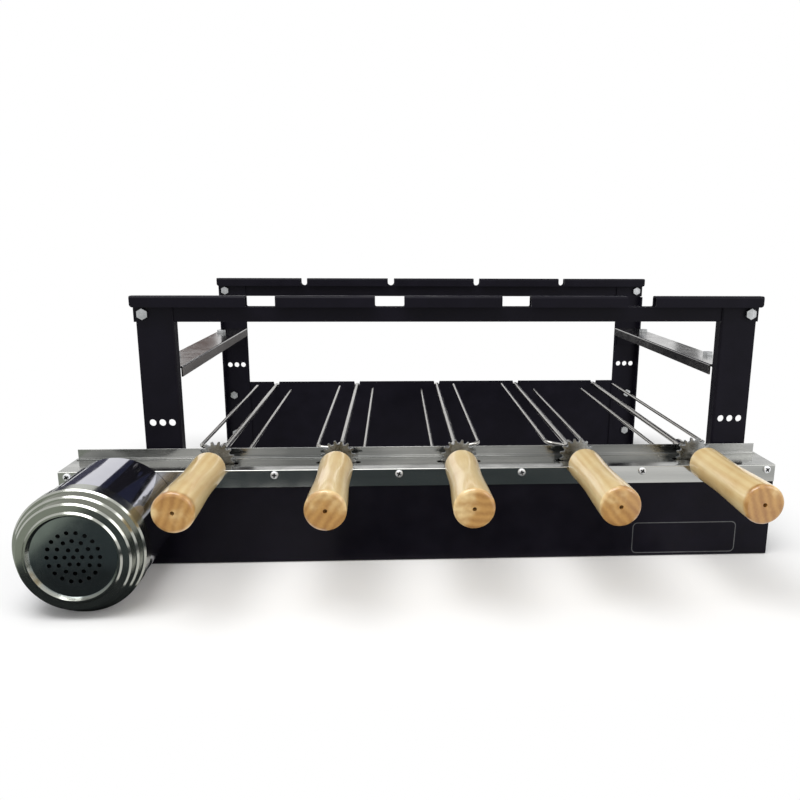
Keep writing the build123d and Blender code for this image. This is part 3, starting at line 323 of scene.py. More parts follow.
# The disc's darkness is its own finish; its slight green is a painted reflection tint, as on the
# rim.
DISC_TONE = (0.3, 0.33, 0.325)
tree = cap_steel.node_tree
shader = tree.nodes["Principled BSDF"]
rim_tone = shader.inputs["Base Color"].links[0].from_socket
place = add(tree, "ShaderNodeTexCoord")
to_axis = add(tree, "ShaderNodeMapping")
to_axis.inputs["Location"].default_value = (-drive_centre[0], 0, -drive_centre[1])
to_axis.inputs["Scale"].default_value = (1, 0, 1)
tree.links.new(place.outputs["Object"], to_axis.inputs["Vector"])
from_axis = add(tree, "ShaderNodeVectorMath", operation="LENGTH")
tree.links.new(to_axis.outputs["Vector"], from_axis.inputs[0])
in_rim = add(tree, "ShaderNodeMapRange")
in_rim.inputs["From Min"].default_value = DISC_RADIUS - DISC_BORDER
in_rim.inputs["From Max"].default_value = DISC_RADIUS + DISC_BORDER
tree.links.new(from_axis.outputs["Value"], in_rim.inputs["Value"])
disc_or_rim = add(tree, "ShaderNodeMix", data_type="RGBA")
disc_or_rim.inputs[6].default_value = (*DISC_TONE, 1)
tree.links.new(in_rim.outputs["Result"], disc_or_rim.inputs["Factor"])
tree.links.new(rim_tone, disc_or_rim.inputs[7])
tree.links.new(disc_or_rim.outputs[2], shader.inputs["Base Color"])
print("drive centre:", drive_centre)

# %% [markdown]
# Zinc plating on screws and bolts is duller and patchy. The sprockets are bare steel that has
# run in oil, the chain is darker still, and the screws' recesses get a painted shade. One
# function with two tones, a roughness range and a patch size serves them all.


# %% Zinc, oiled steel and small metal parts
def patchy_metal(name, dark, light, low, high, scale):
    material, tree, shader = new_material(name, light, 0.4, 1.0)
    mask = smudge_roughness(tree, shader, scale, low, high)
    two_tone(tree, shader, mask, dark, light, PATCH_LOW, PATCH_HIGH)
    bump_from(tree, shader, mask, 0.08, 0.3 * MM)
    return material


zinc = patchy_metal("zinc plate", (0.33, 0.34, 0.34), (0.58, 0.59, 0.6), 0.26, 0.44, 60.0)
screw_zinc = patchy_metal(
    "bright zinc", (0.66, 0.67, 0.68), (0.88, 0.89, 0.9), 0.5, 0.64, 90.0)
# Painted shade: a nearly black tone stands in for the shade that falls in the screws' recesses.
painted_recess_shade = patchy_metal(
    "painted recess shade", (0.03, 0.03, 0.03), (0.09, 0.09, 0.09), 0.5, 0.7, 90.0)
wheel_steel = patchy_metal(
    "sprocket steel", (0.19, 0.197, 0.2), (0.48, 0.495, 0.5), 0.24, 0.42, 110.0)
oiled_steel = patchy_metal(
    "oiled steel", (0.13, 0.125, 0.12), (0.3, 0.29, 0.28), 0.25, 0.45, 90.0)
cast_aluminium = patchy_metal(
    "cast aluminium", (0.4, 0.4, 0.41), (0.62, 0.62, 0.63), 0.45, 0.6, 40.0)
bronze = patchy_metal(
    "bearing bronze", (0.36, 0.22, 0.09), (0.62, 0.42, 0.2), 0.3, 0.45, 50.0)
print("materials with the metals:", len(bpy.data.materials))

# %% [markdown]
# The grommet is rubber, the chain's guide nylon, the motor's body enamelled, and a thin line
# is printed on the housing. None of them is a metal. They could share one function with the
# metals, but they need no bump, and a second short function is easier to read.


# %% Rubber, nylon, enamel and print
def patchy_plastic(name, dark, light, low, high):
    material, tree, shader = new_material(name, light, 0.5)
    mask = smudge_roughness(tree, shader, 30.0, low, high)
    two_tone(tree, shader, mask, dark, light, PATCH_LOW, PATCH_HIGH)
    return material


grommet_rubber = patchy_plastic(
    "grommet rubber", (0.012, 0.012, 0.012), (0.028, 0.028, 0.028), 0.6, 0.8)
guide_nylon = patchy_plastic(
    "guide nylon", (0.62, 0.6, 0.54), (0.76, 0.74, 0.68), 0.4, 0.55)
motor_enamel = patchy_plastic(
    "motor enamel", (0.02, 0.02, 0.022), (0.045, 0.045, 0.05), 0.35, 0.5)
printed_line = patchy_plastic(
    "printed line", (0.055, 0.057, 0.06), (0.105, 0.108, 0.112), 0.4, 0.55)
print("materials with the plastics:", len(bpy.data.materials))

# %% [markdown]
# Turned pine with a clear varnish. The growth rings are stretched rings round an axis beside
# the handle, so the sides show long flames and the end shows arcs, as sawn wood does. The end
# grain drinks more varnish and is darker, so the front few millimetres get their own tones;
# a noise moves that border, because a dipped end is never cut off sharply. The varnish itself
# is a coat on the shader.

# %% Measures of the wood
HANDLE_END = -152.5 * MM
DIP_FROM, DIP_TO = HANDLE_END + 0.5 * MM, HANDLE_END + 7 * MM
RAGGED_BORDER = 22 * MM
RING_SHARE, CLOUD_SHARE, FIBRE_SHARE = 0.26, 0.62, 0.3
WOOD_LOW, WOOD_HIGH = 0.1, 0.66
SIDE_TONES = ((0.68, 0.45, 0.185), (0.84, 0.66, 0.345))
END_TONES = ((0.31, 0.135, 0.03), (0.53, 0.29, 0.08))
print("dipped end from", DIP_FROM, "to", DIP_TO)


# %% Pine
def scaled_noise(tree, noise, share):
    """A noise's distance from its middle value, times a share."""
    away = math_node(tree, "SUBTRACT", noise.outputs["Fac"], NOISE_MIDDLE)
    return math_node(tree, "MULTIPLY", away, share)


def growth_rings(tree, place, seed):
    """Stretched rings, and the stretched coordinates that they lie in."""
    board = add(tree, "ShaderNodeMapping")
    board.inputs["Location"].default_value = (
        0.013 * seed - 0.04, 0.21 * seed, 0.03 - 0.009 * seed)
    board.inputs["Rotation"].default_value = (0.05 - 0.02 * seed, 0.9 * seed, 0.06)
    board.inputs["Scale"].default_value = (1, 0.09, 1)
    tree.links.new(place.outputs["Object"], board.inputs["Vector"])
    rings = add(tree, "ShaderNodeTexWave", wave_type="RINGS", rings_direction="Y",
                Scale=46.0, Distortion=3.6, Detail=3.0, Detail_Scale=1.4)
    tree.links.new(board.outputs["Vector"], rings.inputs["Vector"])
    return rings, board


def dipped_end(tree, place, clouds):
    """A mask: 1 on the handle's front end, 0 behind a ragged border."""
    along = add(tree, "ShaderNodeSeparateXYZ")
    tree.links.new(place.outputs["Object"], along.inputs[0])
    depth = math_node(
        tree, "ADD", along.outputs["Y"], scaled_noise(tree, clouds, RAGGED_BORDER))
    dipped = add(tree, "ShaderNodeMapRange", interpolation_type="SMOOTHSTEP")
    dipped.inputs["From Min"].default_value = DIP_FROM
    dipped.inputs["From Max"].default_value = DIP_TO
    dipped.inputs["To Min"].default_value = 1.0
    dipped.inputs["To Max"].default_value = 0.0
    tree.links.new(depth, dipped.inputs["Value"])
    return dipped.outputs["Result"]


def pine(name, seed):
    """Pine for one handle: every handle is cut from another place in the board."""
    material, tree, shader = new_material(name, SIDE_TONES[1], 0.36)
    place = add(tree, "ShaderNodeTexCoord")
    rings, board = growth_rings(tree, place, seed)
    fibres = add(tree, "ShaderNodeTexNoise", Scale=700.0, Detail=3.0)
    tree.links.new(board.outputs["Vector"], fibres.inputs["Vector"])
    clouds = add(tree, "ShaderNodeTexNoise", Scale=42.0, Detail=3.0)
    tree.links.new(place.outputs["Object"], clouds.inputs["Vector"])
    mixed = math_node(tree, "ADD",
                      math_node(tree, "MULTIPLY", rings.outputs["Fac"], RING_SHARE),
                      scaled_noise(tree, fibres, FIBRE_SHARE))
    mixed = math_node(tree, "ADD", mixed,
                      math_node(tree, "MULTIPLY", clouds.outputs["Fac"], CLOUD_SHARE))
    blend = add(tree, "ShaderNodeMix", data_type="RGBA")
    tree.links.new(dipped_end(tree, place, clouds), blend.inputs["Factor"])
    for socket, tones in ((6, SIDE_TONES), (7, END_TONES)):
        tree.links.new(tone_ramp(tree, mixed, *tones, WOOD_LOW, WOOD_HIGH), blend.inputs[socket])
    tree.links.new(blend.outputs[2], shader.inputs["Base Color"])
    bump_from(tree, shader, fibres.outputs["Fac"], 0.05, 0.2 * MM)
    shader.inputs["Coat Weight"].default_value = 0.85
    shader.inputs["Coat Roughness"].default_value = 0.09
    return material


SKEWERS = range(1, 6)
handle_woods = {number: pine(f"varnished pine {number}", number) for number in SKEWERS}
print("materials:", len(bpy.data.materials))

# %% [markdown]
# ## Dressing the sheet-metal pieces
#
# The CAD solids have the folds, notches and holes already. What they lack is the softened
# edge that catches the light on real sheet. The CAD mesh itself stays as it is, so each piece
# is a copy whose doubled corners are merged, whose flat faces are joined again, and which then
# gets a narrow bevel. Weighted normals keep the large faces flat up to that bevel. A bevel
# node in the shader would be quicker, but it doesn't change the mesh, so an export loses it.


# %% Helpers for pieces
def select_only(obj):
    bpy.ops.object.select_all(action="DESELECT")
    obj.hide_set(False)
    obj.select_set(True)
    bpy.context.view_layer.objects.active = obj


def apply_modifier(obj, kind, **settings):
    select_only(obj)
    modifier = obj.modifiers.new(kind.lower(), kind)
    for key, value in settings.items():
        setattr(modifier, key, value)
    bpy.ops.object.modifier_apply(modifier=modifier.name)


def smooth(obj, degrees):
    select_only(obj)
    bpy.ops.object.shade_smooth_by_angle(angle=math.radians(degrees))


def finish_piece(obj, name, material, node):
    """Names a piece, paints it, and lets it stand for its CAD node on the right body."""
    obj.name = name
    obj.data.name = name
    obj.data.materials.clear()
    obj.data.materials.append(material)
    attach(obj, body_of_node[node])
    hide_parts(node)


# %% A dressed copy of a CAD node
MERGE_DISTANCE = 0.002 * MM
FLAT_DEGREES, EDGE_DEGREES, SMOOTH_DEGREES = 1, 40, 35


def dressed_copy(node, material, bevel):
    """A merged, bevelled copy of a CAD node, with its name written with dashes."""
    copy = nodes[node].copy()
    copy.data = nodes[node].data.copy()
    for key in list(copy.keys()):
        del copy[key]
    copy.parent = None
    bpy.context.scene.collection.objects.link(copy)
    select_only(copy)
    bpy.ops.object.mode_set(mode="EDIT")
    bpy.ops.mesh.select_all(action="SELECT")
    bpy.ops.mesh.remove_doubles(threshold=MERGE_DISTANCE)
    bpy.ops.mesh.dissolve_limited(angle_limit=math.radians(FLAT_DEGREES))
    bpy.ops.object.mode_set(mode="OBJECT")
    apply_modifier(copy, "BEVEL", width=bevel, segments=2, limit_method="ANGLE",
                   angle_limit=math.radians(EDGE_DEGREES), use_clamp_overlap=True,
                   harden_normals=False)
    smooth(copy, SMOOTH_DEGREES)
    apply_modifier(copy, "WEIGHTED_NORMAL", mode="FACE_AREA", weight=100, keep_sharp=True)
    finish_piece(copy, node.replace("_", "-"), material, node)


# %% Posts, bars and panels
PAINT_BEVEL = 0.35 * MM
painted = ("front_left_post", "front_right_post", "rear_left_post", "rear_right_post",
           "front_top_bar", "rear_top_bar", "rear_panel", "chain_housing",
           "left_end_plate", "right_end_plate", "front_left_bracket", "front_right_bracket",
           "rear_left_bracket", "rear_right_bracket")
for node in painted:
    dressed_copy(node, black_paint, PAINT_BEVEL)
print("painted pieces:", len(painted))

# %% Stainless pieces
bare_sheets = {
    "rail_cover": (cover_steel, 0.2 * MM),
    "skewer_rest": (rest_steel, 0.2 * MM),
    "left_side_rail": (rail_steel, 0.25 * MM),
    "right_side_rail": (rail_steel, 0.25 * MM),
    "motor_can": (can_steel, 0.2 * MM),
}
for node, (material, bevel) in bare_sheets.items():
    dressed_copy(node, material, bevel)
print("stainless pieces:", len(bare_sheets))

# %% [markdown]
# The sprockets are punched from plate. Their teeth are right in the CAD, so they get only a
# very narrow bevel, narrower than on the sheets, because a tooth's tip is small.

# %% Sprockets
TOOTH_BEVEL = 0.15 * MM
for number in SKEWERS:
    dressed_copy(f"skewer_{number}_sprocket", wheel_steel, TOOTH_BEVEL)
for node in ("drive_sprocket", "idler_sprocket"):
    dressed_copy(node, oiled_steel, TOOTH_BEVEL)
print("sprockets:", len(SKEWERS) + 2)

# %% [markdown]
# Hexagon bolts: the CAD hexagons are right, but a real head has a broken rim that glints. A
# wider bevel than on the sheet gives it.

# %% Bolts
BOLT_BEVEL = 0.4 * MM
bolt_nodes = (
    "top_bar_bolts", "rear_panel_bolts", "side_rail_bolts", "housing_bolts", "motor_screws")
for node in bolt_nodes:
    dressed_copy(node, zinc, BOLT_BEVEL)
print("bolt nodes:", len(bolt_nodes))

# %% [markdown]
# ## Cover screws
#
# The six screws in the cover's front edge are pan heads with a cross recess. One is modelled:
# a short cylinder whose front rim is rounded in edit mode, a shank behind it, and a recess cut
# by two crossed bars. Then it is copied to the six places. A texture of a cross would be less
# work, but it would stay flat when the light moves.

# %% Measures of a screw
HEAD_RADIUS, HEAD_HEIGHT = 3.75 * MM, 2.2 * MM
RIM_ROUNDING = 0.6 * HEAD_HEIGHT
SHANK_RADIUS, SHANK_LENGTH = 1.9 * MM, 6.5 * MM
RECESS_LENGTH, RECESS_WIDTH, RECESS_DEPTH = 4.6 * MM, 1.5 * MM, 1.3 * MM
FRONT_TURN = (math.radians(90), 0, 0)
print("head:", HEAD_RADIUS, HEAD_HEIGHT)


# %% Helpers that place and join
def clear_selection():
    bpy.ops.object.select_all(action="DESELECT")


def bake_place(obj):
    """Moves an object's place into its mesh, as the CAD nodes have it."""
    select_only(obj)
    bpy.ops.object.transform_apply(location=True, rotation=True, scale=True)


def round_bar(x, y, radius, length, sides):
    """A cylinder along Y, with its middle at x and y."""
    clear_selection()
    bpy.ops.mesh.primitive_cylinder_add(
        vertices=sides, radius=radius, depth=length, location=(x, y, 0), rotation=FRONT_TURN)
    bar = bpy.context.object
    bake_place(bar)
    return bar


def join_all(parts):
    """Joins the pieces into the first one."""
    clear_selection()
    for part in parts:
        part.select_set(True)
    bpy.context.view_layer.objects.active = parts[0]
    bpy.ops.object.join()
    return bpy.context.object


# %% One pan-head screw
head = round_bar(0, -HEAD_HEIGHT / 2, HEAD_RADIUS, HEAD_HEIGHT, 32)
for vertex in head.data.vertices:
    vertex.select = vertex.co.y < -HEAD_HEIGHT / 2
for edge in head.data.edges:
    edge.select = all(head.data.vertices[i].select for i in edge.vertices)
for face in head.data.polygons:
    face.select = all(head.data.vertices[i].select for i in face.vertices)
bpy.ops.object.mode_set(mode="EDIT")
bpy.ops.mesh.bevel(offset=RIM_ROUNDING, segments=4, profile=0.5, affect="EDGES")
bpy.ops.object.mode_set(mode="OBJECT")
for turn in (45, 135):
    clear_selection()
    bpy.ops.mesh.primitive_cube_add(
        size=1, location=(0, -HEAD_HEIGHT, 0), rotation=(0, math.radians(turn), 0))
    bar = bpy.context.object
    bar.scale = (RECESS_LENGTH, 2 * RECESS_DEPTH, RECESS_WIDTH)
    bake_place(bar)
    apply_modifier(head, "BOOLEAN", object=bar, operation="DIFFERENCE", solver="EXACT")
    bpy.data.objects.remove(bar)
shank = round_bar(0, SHANK_LENGTH / 2, SHANK_RADIUS, SHANK_LENGTH, 16)
screw = join_all([head, shank])
print("screw faces:", len(screw.data.polygons))


# %% Six copies in the cover's edge
def placed_copy(source, place, turn):
    """A copy with a mesh of its own, at a place and turned about Y."""
    one = source.copy()
    one.data = source.data.copy()
    bpy.context.scene.collection.objects.link(one)
    one.location = place
    one.rotation_euler = (0, turn, 0)
    return one


COVER_FACE_Y, SCREW_HEIGHT = -24.0 * MM, 91.0 * MM
SCREW_PLACES = (-371.5, -175.475, -54.825, 65.825, 186.475, 313.5)
SCREW_TURNS = (12, 50, -20, 33, 75, 5)
screws = [placed_copy(screw, (x * MM, COVER_FACE_Y, SCREW_HEIGHT), math.radians(turn))
          for x, turn in zip(SCREW_PLACES, SCREW_TURNS)]
for one in screws:
    bake_place(one)
bpy.data.objects.remove(screw)
cover_screws = join_all(screws)
smooth(cover_screws, 40)
finish_piece(cover_screws, "rail-cover-screws", screw_zinc, "rail_cover_screws")
print("cover screws:", len(SCREW_PLACES), "faces:", len(cover_screws.data.polygons))

# %% [markdown]
# Shade makes a recess much darker than the head, so its faces get a painted shade. They lie
# below the head's front and near the screw's axis, which is enough to find them.

# %% Painted shade in the recesses
RECESS_SHADE_FROM, RECESS_SHADE_TO, RECESS_SHADE_RADIUS = 0.5 * MM, 2.1 * MM, 2.6 * MM
# The painted shade goes on the recess faces as a second material.
cover_screws.data.materials.append(painted_recess_shade)
for face in cover_screws.data.polygons:
    in_front = COVER_FACE_Y - face.center.y
    from_screw = min(math.hypot(face.center.x - x * MM, face.center.z - SCREW_HEIGHT)
                     for x in SCREW_PLACES)
    if RECESS_SHADE_FROM < in_front < RECESS_SHADE_TO and from_screw < RECESS_SHADE_RADIUS:
        face.material_index = 1
print("recess faces:", sum(face.material_index for face in cover_screws.data.polygons))

# %% [markdown]
# ## Roller chain
#
# The CAD chain is two plain bands with rollers between them. The real one is a quarter-inch
# roller chain: inner links with two rollers and outer links with two pins, in turn. One link
# of each kind is modelled with few faces, because 220 of them go round. An array modifier on
# a curve could place them, but it stretches links in the bends, so each link is set between
# two roller centres instead.

# %% Measures of the chain
CHAIN_PITCH = 6.35 * MM
CHAIN_Y = -1.0 * MM
SPAN_PITCHES, WHEEL_TEETH = 96, 28
WHEEL_RADIUS = CHAIN_PITCH / 2 / math.sin(math.pi / WHEEL_TEETH)
PLATE_THICKNESS, PLATE_WAIST = 0.38 * MM, 0.72
INNER_PLATE_Y, INNER_PLATE_HEIGHT = 1.92 * MM, 4.8 * MM
OUTER_PLATE_Y, OUTER_PLATE_HEIGHT = 2.31 * MM, 4.6 * MM
ROLLER_RADIUS, ROLLER_LENGTH = 1.6 * MM, 3.2 * MM
PIN_RADIUS, PIN_LENGTH = 0.85 * MM, 5.1 * MM
idler_x = drive_centre[0] + SPAN_PITCHES * CHAIN_PITCH
print("idler x:", idler_x)


# %% One link of each kind
def link_plate(y, height):
    """A plate from one joint to the next, waisted in the middle."""
    plate = round_bar(-CHAIN_PITCH / 2, y, height / 2, PLATE_THICKNESS, 12)
    for vertex in plate.data.vertices:
        vertex.select = vertex.co.x > -CHAIN_PITCH / 2 + MERGE_DISTANCE
    bpy.ops.object.mode_set(mode="EDIT")
    bpy.ops.mesh.select_mode(type="VERT")
    bpy.ops.transform.translate(value=(CHAIN_PITCH, 0, 0))
    bpy.ops.mesh.select_all(action="SELECT")
    bpy.ops.mesh.bisect(plane_co=(0, 0, 0), plane_no=(1, 0, 0))
    bpy.ops.transform.resize(value=(1, 1, PLATE_WAIST))
    bpy.ops.object.mode_set(mode="OBJECT")
    return plate


def chain_link(plate_y, plate_height, bar_radius, bar_length, bar_sides):
    """Two plates, and a roller or a pin at each of the two joints."""
    plates = [link_plate(side * plate_y, plate_height) for side in (-1, 1)]
    bars = [round_bar(side * CHAIN_PITCH / 2, 0, bar_radius, bar_length, bar_sides)
            for side in (-1, 1)]
    return join_all(plates + bars)


inner_link = chain_link(INNER_PLATE_Y, INNER_PLATE_HEIGHT, ROLLER_RADIUS, ROLLER_LENGTH, 10)
outer_link = chain_link(OUTER_PLATE_Y, OUTER_PLATE_HEIGHT, PIN_RADIUS, PIN_LENGTH, 8)
print("faces per link pair:", len(inner_link.data.polygons) + len(outer_link.data.polygons))


# %% The chain round both sprockets
def joint_places_round():
    """Joint centres, from the top of the drive sprocket clockwise round both sprockets."""
    x, z = drive_centre
    step = 2 * math.pi / WHEEL_TEETH
    arc = [(WHEEL_RADIUS * math.sin(i * step), WHEEL_RADIUS * math.cos(i * step))
           for i in range(WHEEL_TEETH // 2)]
    top = [(x + i * CHAIN_PITCH, z + WHEEL_RADIUS) for i in range(SPAN_PITCHES)]
    bottom = [(idler_x - i * CHAIN_PITCH, z - WHEEL_RADIUS) for i in range(SPAN_PITCHES)]
    round_idler = [(idler_x + across, z + up) for across, up in arc]
    round_drive = [(x - across, z - up) for across, up in arc]
    return top + round_idler + bottom + round_drive


chain_joints = joint_places_round()
links = []
for i, (start, end) in enumerate(zip(chain_joints, chain_joints[1:] + chain_joints[:1])):
    source = inner_link if i % 2 == 0 else outer_link
    middle = ((start[0] + end[0]) / 2, CHAIN_Y, (start[1] + end[1]) / 2)
    links.append(placed_copy(source, middle, -math.atan2(end[1] - start[1], end[0] - start[0])))
bpy.data.objects.remove(inner_link)
bpy.data.objects.remove(outer_link)
chain = join_all(links)
bake_place(chain)
smooth(chain, 30)
finish_piece(chain, "roller-chain", oiled_steel, "roller_chain")
print("chain joints:", len(chain_joints), "chain faces:", len(chain.data.polygons))

# %% [markdown]
# ## Line round the place of a plate
#
# Low on the right of the housing's front a thin grey line frames a rounded rectangle. Its
# inside stays bare. A plane gets rounded corners in edit mode, an inset leaves the narrow rim,
# the middle face goes, and a Solidify makes it as thick as a coat of print.

# %% Printed outline
OUTLINE_LOW, OUTLINE_HIGH = Vector((181, 3)) * MM, Vector((288, 36)) * MM
OUTLINE_CORNER, OUTLINE_WIDTH = 5 * MM, 0.9 * MM
APRON_Y, LIFT, PRINT_THICKNESS = -23.0 * MM, 0.06 * MM, 0.05 * MM
outline_middle = (OUTLINE_LOW + OUTLINE_HIGH) / 2
clear_selection()
bpy.ops.mesh.primitive_plane_add(
    size=1, rotation=FRONT_TURN, location=(outline_middle.x, APRON_Y - LIFT, outline_middle.y))
outline = bpy.context.object
outline.scale = (*(OUTLINE_HIGH - OUTLINE_LOW), 1)
bake_place(outline)
bpy.ops.object.mode_set(mode="EDIT")
bpy.ops.mesh.select_mode(type="VERT")
bpy.ops.mesh.select_all(action="SELECT")
bpy.ops.mesh.bevel(offset=OUTLINE_CORNER, segments=6, profile=0.5, affect="VERTICES")
bpy.ops.mesh.select_mode(type="FACE")
bpy.ops.mesh.select_all(action="SELECT")
bpy.ops.mesh.inset(thickness=OUTLINE_WIDTH, depth=0)
bpy.ops.mesh.delete(type="FACE")
bpy.ops.object.mode_set(mode="OBJECT")
apply_modifier(outline, "SOLIDIFY", thickness=PRINT_THICKNESS)
outline.name = outline.data.name = "plate-outline"
outline.data.materials.append(printed_line)
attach(outline, body_of_node["chain_housing"])
print("outline faces:", len(outline.data.polygons))

# %% [markdown]
# ## Pieces that need no new mesh
#
# Handles, rods, forks and the motor's cap are round or bent, and the parts inside the housing
# are plain. They could be dressed too, but merging flat faces would spoil their curves, so
# they keep their CAD node and get only a finish.

# %% Parts that keep their CAD node
plain_finish = {
    "chain_guide": guide_nylon, "idler_axle": zinc, "idler_clip": zinc, "motor_plate": zinc,
    "gearbox": cast_aluminium, "motor_body": motor_enamel, "drive_bearing": bronze,
    "drive_shaft": zinc, "cord_grommet": grommet_rubber, "motor_cap": cap_steel,
}
for number in SKEWERS:
    plain_finish[f"skewer_{number}_handle"] = handle_woods[number]
    plain_finish[f"skewer_{number}_rod"] = rod_steel
    plain_finish[f"skewer_{number}_fork"] = rod_steel
for node, material in plain_finish.items():
    nodes[node].data.materials.clear()
    nodes[node].data.materials.append(material)
print("plain finishes:", len(plain_finish))

# %% [markdown]
# ## Studio
#
# The paper under the grill is white. Close to the grill it is lit like any paper and takes the
# shadow; farther off it fades into a white of strength 1, which camera and metal both see, so
# no horizon shows. More light on the floor would do it too, but it would bleach the grill.

# %% Floor
FLOOR_SIZE, FLOOR_DROP = 12.0, 0.5 * MM
clear_selection()
bpy.ops.mesh.primitive_plane_add(size=FLOOR_SIZE, location=(0, 0, -FLOOR_DROP))
floor = bpy.context.object
floor.name = "floor"
bake_place(floor)
floor_paint, tree, floor_shader = new_material("floor paper", (0.9, 0.9, 0.9), 0.8)
floor_shader.inputs["Specular IOR Level"].default_value = 0.1
floor.data.materials.append(floor_paint)
print("floor size:", FLOOR_SIZE)


# %% The floor's fade into white
def seen_directly(tree):
    """1 for rays from the camera, from a mirror or through glass, and 0 for lighting rays."""
    path = tree.nodes.new("ShaderNodeLightPath")
    seen = math_node(
        tree, "MAXIMUM", path.outputs["Is Camera Ray"], path.outputs["Is Glossy Ray"])
    return math_node(tree, "MAXIMUM", seen, path.outputs["Is Transmission Ray"])


FADE_FROM, FADE_TO = -0.02, 0.12
place = add(tree, "ShaderNodeTexCoord")
axes = add(tree, "ShaderNodeSeparateXYZ")
tree.links.new(place.outputs["Object"], axes.inputs[0])
outside = []
for axis, low_side, high_side in zip("XY", cad_low, cad_high):
    middle, half = (low_side + high_side) / 2, (high_side - low_side) / 2
    away = math_node(tree, "SUBTRACT", axes.outputs[axis], middle)
    away = math_node(tree, "ABSOLUTE", away, 0)
    beyond = math_node(tree, "MAXIMUM", math_node(tree, "SUBTRACT", away, half), 0.0)
    outside.append(math_node(tree, "MULTIPLY", beyond, beyond))
distance = math_node(tree, "SQRT", math_node(tree, "ADD", *outside), 0)
fade = add(tree, "ShaderNodeMapRange", interpolation_type="SMOOTHSTEP")
fade.inputs["From Min"].default_value = FADE_FROM
fade.inputs["From Max"].default_value = FADE_TO
tree.links.new(distance, fade.inputs["Value"])
white = add(tree, "ShaderNodeEmission", Strength=1.0)
mix = tree.nodes.new("ShaderNodeMixShader")
tree.links.new(
    math_node(tree, "MULTIPLY", fade.outputs["Result"], seen_directly(tree)), mix.inputs[0])
tree.links.new(floor_shader.outputs["BSDF"], mix.inputs[1])
tree.links.new(white.outputs["Emission"], mix.inputs[2])
tree.links.new(mix.outputs[0], tree.nodes["Material Output"].inputs["Surface"])
print("white from", FADE_TO, "m outside the grill's box")

# %% [markdown]
# The room is white too. It lights the grill at less than half its strength, so that the black
# paint stays black, while the camera and the metal see it at full strength.

# %% Room
ROOM_LIGHT = 0.45
world = bpy.data.worlds.new("studio")
bpy.context.scene.world = world
world.use_nodes = True
tree = world.node_tree
background = tree.nodes["Background"]
background.inputs["Color"].default_value = (1, 1, 1, 1)
level = tree.nodes.new("ShaderNodeMapRange")
level.inputs["To Min"].default_value = ROOM_LIGHT
level.inputs["To Max"].default_value = 1.0
tree.links.new(seen_directly(tree), level.inputs["Value"])
tree.links.new(level.outputs["Result"], background.inputs["Strength"])
print("room light:", ROOM_LIGHT)

# %% [markdown]
# Two large soft lamps give form: a key lamp high on the left in front, and a weaker one on the
# right that fills its shadows. Small lamps would draw hard shadows, which a studio avoids.


# %% Lamps
LAMP_TARGET = Vector((0, 0.1, 0.1))


def soft_lamp(name, place, size, watts):
    lamp = bpy.data.objects.new(name, bpy.data.lights.new(name, "AREA"))
    lamp.data.shape = "RECTANGLE"
    lamp.data.size, lamp.data.size_y = size
    lamp.data.energy = watts
    lamp.location = place
    direction = LAMP_TARGET - Vector(place)
    lamp.rotation_euler = direction.to_track_quat("-Z", "Y").to_euler()
    bpy.context.scene.collection.objects.link(lamp)


soft_lamp("key lamp", (-0.4, -0.5, 1.6), (1.4, 0.9), 22)
soft_lamp("fill lamp", (1.3, -1.0, 0.9), (1.0, 1.0), 8)
print("lamps:", len(bpy.data.lights))

# %% [markdown]
# Polished metal in an all-white room looks flat. Photographers stand dark cards round it, out
# of the picture: they don't light anything, the metal only mirrors them. Six of these eleven
# lie on the floor. The one in front darkens the lid and the cover's front edge, the two
# between it and the grill keep the floor's white off the apron and the lid's lower half, and
# the lighter one on the left tones the lid's left side. The two far behind are what the side
# rails' lips mirror. Five stand upright behind the grill: two draw the dark band on the can,
# one darkens the can's left, and two small ones darken the tops of the side rails.


# %% Dark cards
def dark_card(name, place, size, turn, tone):
    """A card that only metal sees: it takes no light, casts no shadow and isn't in view."""
    clear_selection()
    bpy.ops.mesh.primitive_plane_add(size=1, location=place, rotation=turn)
    card = bpy.context.object
    card.name = name
    card.scale = (*size, 1)
    bake_place(card)
    cloth, _, cloth_shader = new_material(name, tone, 0.9)
    cloth_shader.inputs["Specular IOR Level"].default_value = 0
    card.data.materials.append(cloth)
    card.visible_camera = card.visible_diffuse = card.visible_shadow = False
    card.visible_transmission = card.visible_volume_scatter = False


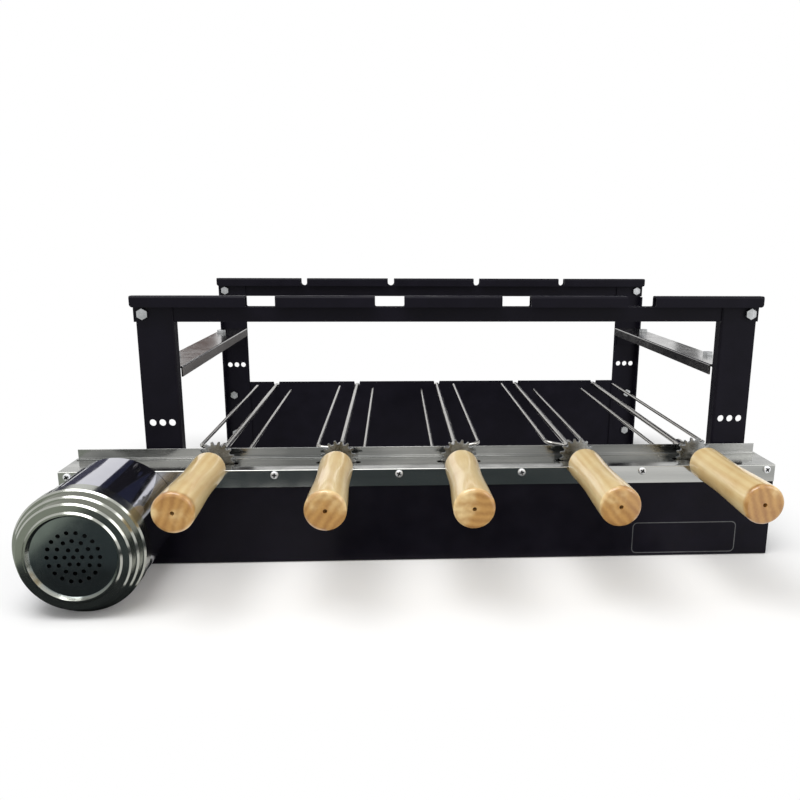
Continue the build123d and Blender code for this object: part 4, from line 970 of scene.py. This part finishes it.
FLAT, UPRIGHT = (0, 0, 0), FRONT_TURN
cards = {
    "card in front":
        ((-0.105, -0.7125, 0.001), (0.65, 0.955), FLAT, (0.055, 0.066, 0.07)),
    "card before the apron":
        ((0.05, -0.1325, 0.001), (0.34, 0.205), FLAT, (0.03, 0.034, 0.036)),
    "card under the lid":
        ((-0.35, -0.1325, 0.001), (0.16, 0.205), FLAT, (0.03, 0.034, 0.036)),
    "card on the left":
        ((-0.68, -0.1, 0.001), (0.5, 1.0), FLAT, (0.36, 0.39, 0.34)),
    "card behind, high":
        ((0.5, 1.6, 1.43), (2.2, 1.54), UPRIGHT, (0.03, 0.033, 0.06)),
    "card behind, low":
        ((0.42, 1.6, 0.25), (0.64, 0.48), UPRIGHT, (0.03, 0.033, 0.06)),
    "card behind, left":
        ((-1.65, 1.6, 0.3), (1.2, 0.4), UPRIGHT, (0.1, 0.1, 0.14)),
    "card for the left rail":
        ((-0.67, 1.6, 0.37), (0.13, 0.3), UPRIGHT, (0.16, 0.11, 0.1)),
    "card for the right rail":
        ((0.88, 1.6, 0.38), (0.08, 0.2), UPRIGHT, (0.05, 0.05, 0.05)),
    "card for the right lip":
        ((-0.8, 1.8, 0.001), (1.6, 2.4), FLAT, (0.04, 0.04, 0.045)),
    "card for the left lip":
        ((0.25, 1.8, 0.001), (0.5, 2.4), FLAT, (0.42, 0.4, 0.39)),
}
for name, values in cards.items():
    dark_card(name, *values)
print("dark cards:", len(cards))

# %% [markdown]
# ## Camera
#
# The camera's place comes from a fit of the model's edges to the photograph. It stands a
# little left of the middle, 0.57 m in front of the handles' ends and 0.2 m above them, and
# looks slightly down. Placing it by eye is quicker, but then no edge would meet its own.

# %% Camera
FOCAL_PIXELS = 742.79
CENTRE = (433.55, 406.11)
YAW, PITCH, ROLL = 0.0539, 0.2165, 0.0050
CAMERA_PLACE = Vector((-58.99, -719.49, 311.39)) * MM
IMAGE_SIZE, SENSOR_WIDTH = 800, 36
level_forward = Vector((math.sin(YAW), math.cos(YAW), 0))
forward = level_forward * math.cos(PITCH) - Vector((0, 0, math.sin(PITCH)))
level_right = Vector((math.cos(YAW), -math.sin(YAW), 0))
level_up = level_right.cross(forward)
right = level_right * math.cos(ROLL) + level_up * math.sin(ROLL)
up = level_up * math.cos(ROLL) - level_right * math.sin(ROLL)
camera = bpy.data.objects.new("camera", bpy.data.cameras.new("camera"))
bpy.context.scene.collection.objects.link(camera)
camera.matrix_world = Matrix((
    (right.x, up.x, -forward.x, CAMERA_PLACE.x),
    (right.y, up.y, -forward.y, CAMERA_PLACE.y),
    (right.z, up.z, -forward.z, CAMERA_PLACE.z),
    (0, 0, 0, 1),
))
camera.data.sensor_width = SENSOR_WIDTH
camera.data.lens = FOCAL_PIXELS / IMAGE_SIZE * SENSOR_WIDTH
camera.data.shift_x = (IMAGE_SIZE / 2 - CENTRE[0]) / IMAGE_SIZE
camera.data.shift_y = (CENTRE[1] - IMAGE_SIZE / 2) / IMAGE_SIZE
camera.data.clip_start = 0.01
bpy.context.scene.camera = camera
bpy.context.scene.view_settings.view_transform = "Standard"
print("lens:", round(camera.data.lens, 2), "mm")

# %% [markdown]
# ## Size
#
# The last line prints the CAD box.

# %% Size
print("CAD box:", [round(value, 4) for value in (*cad_low, *cad_high)])
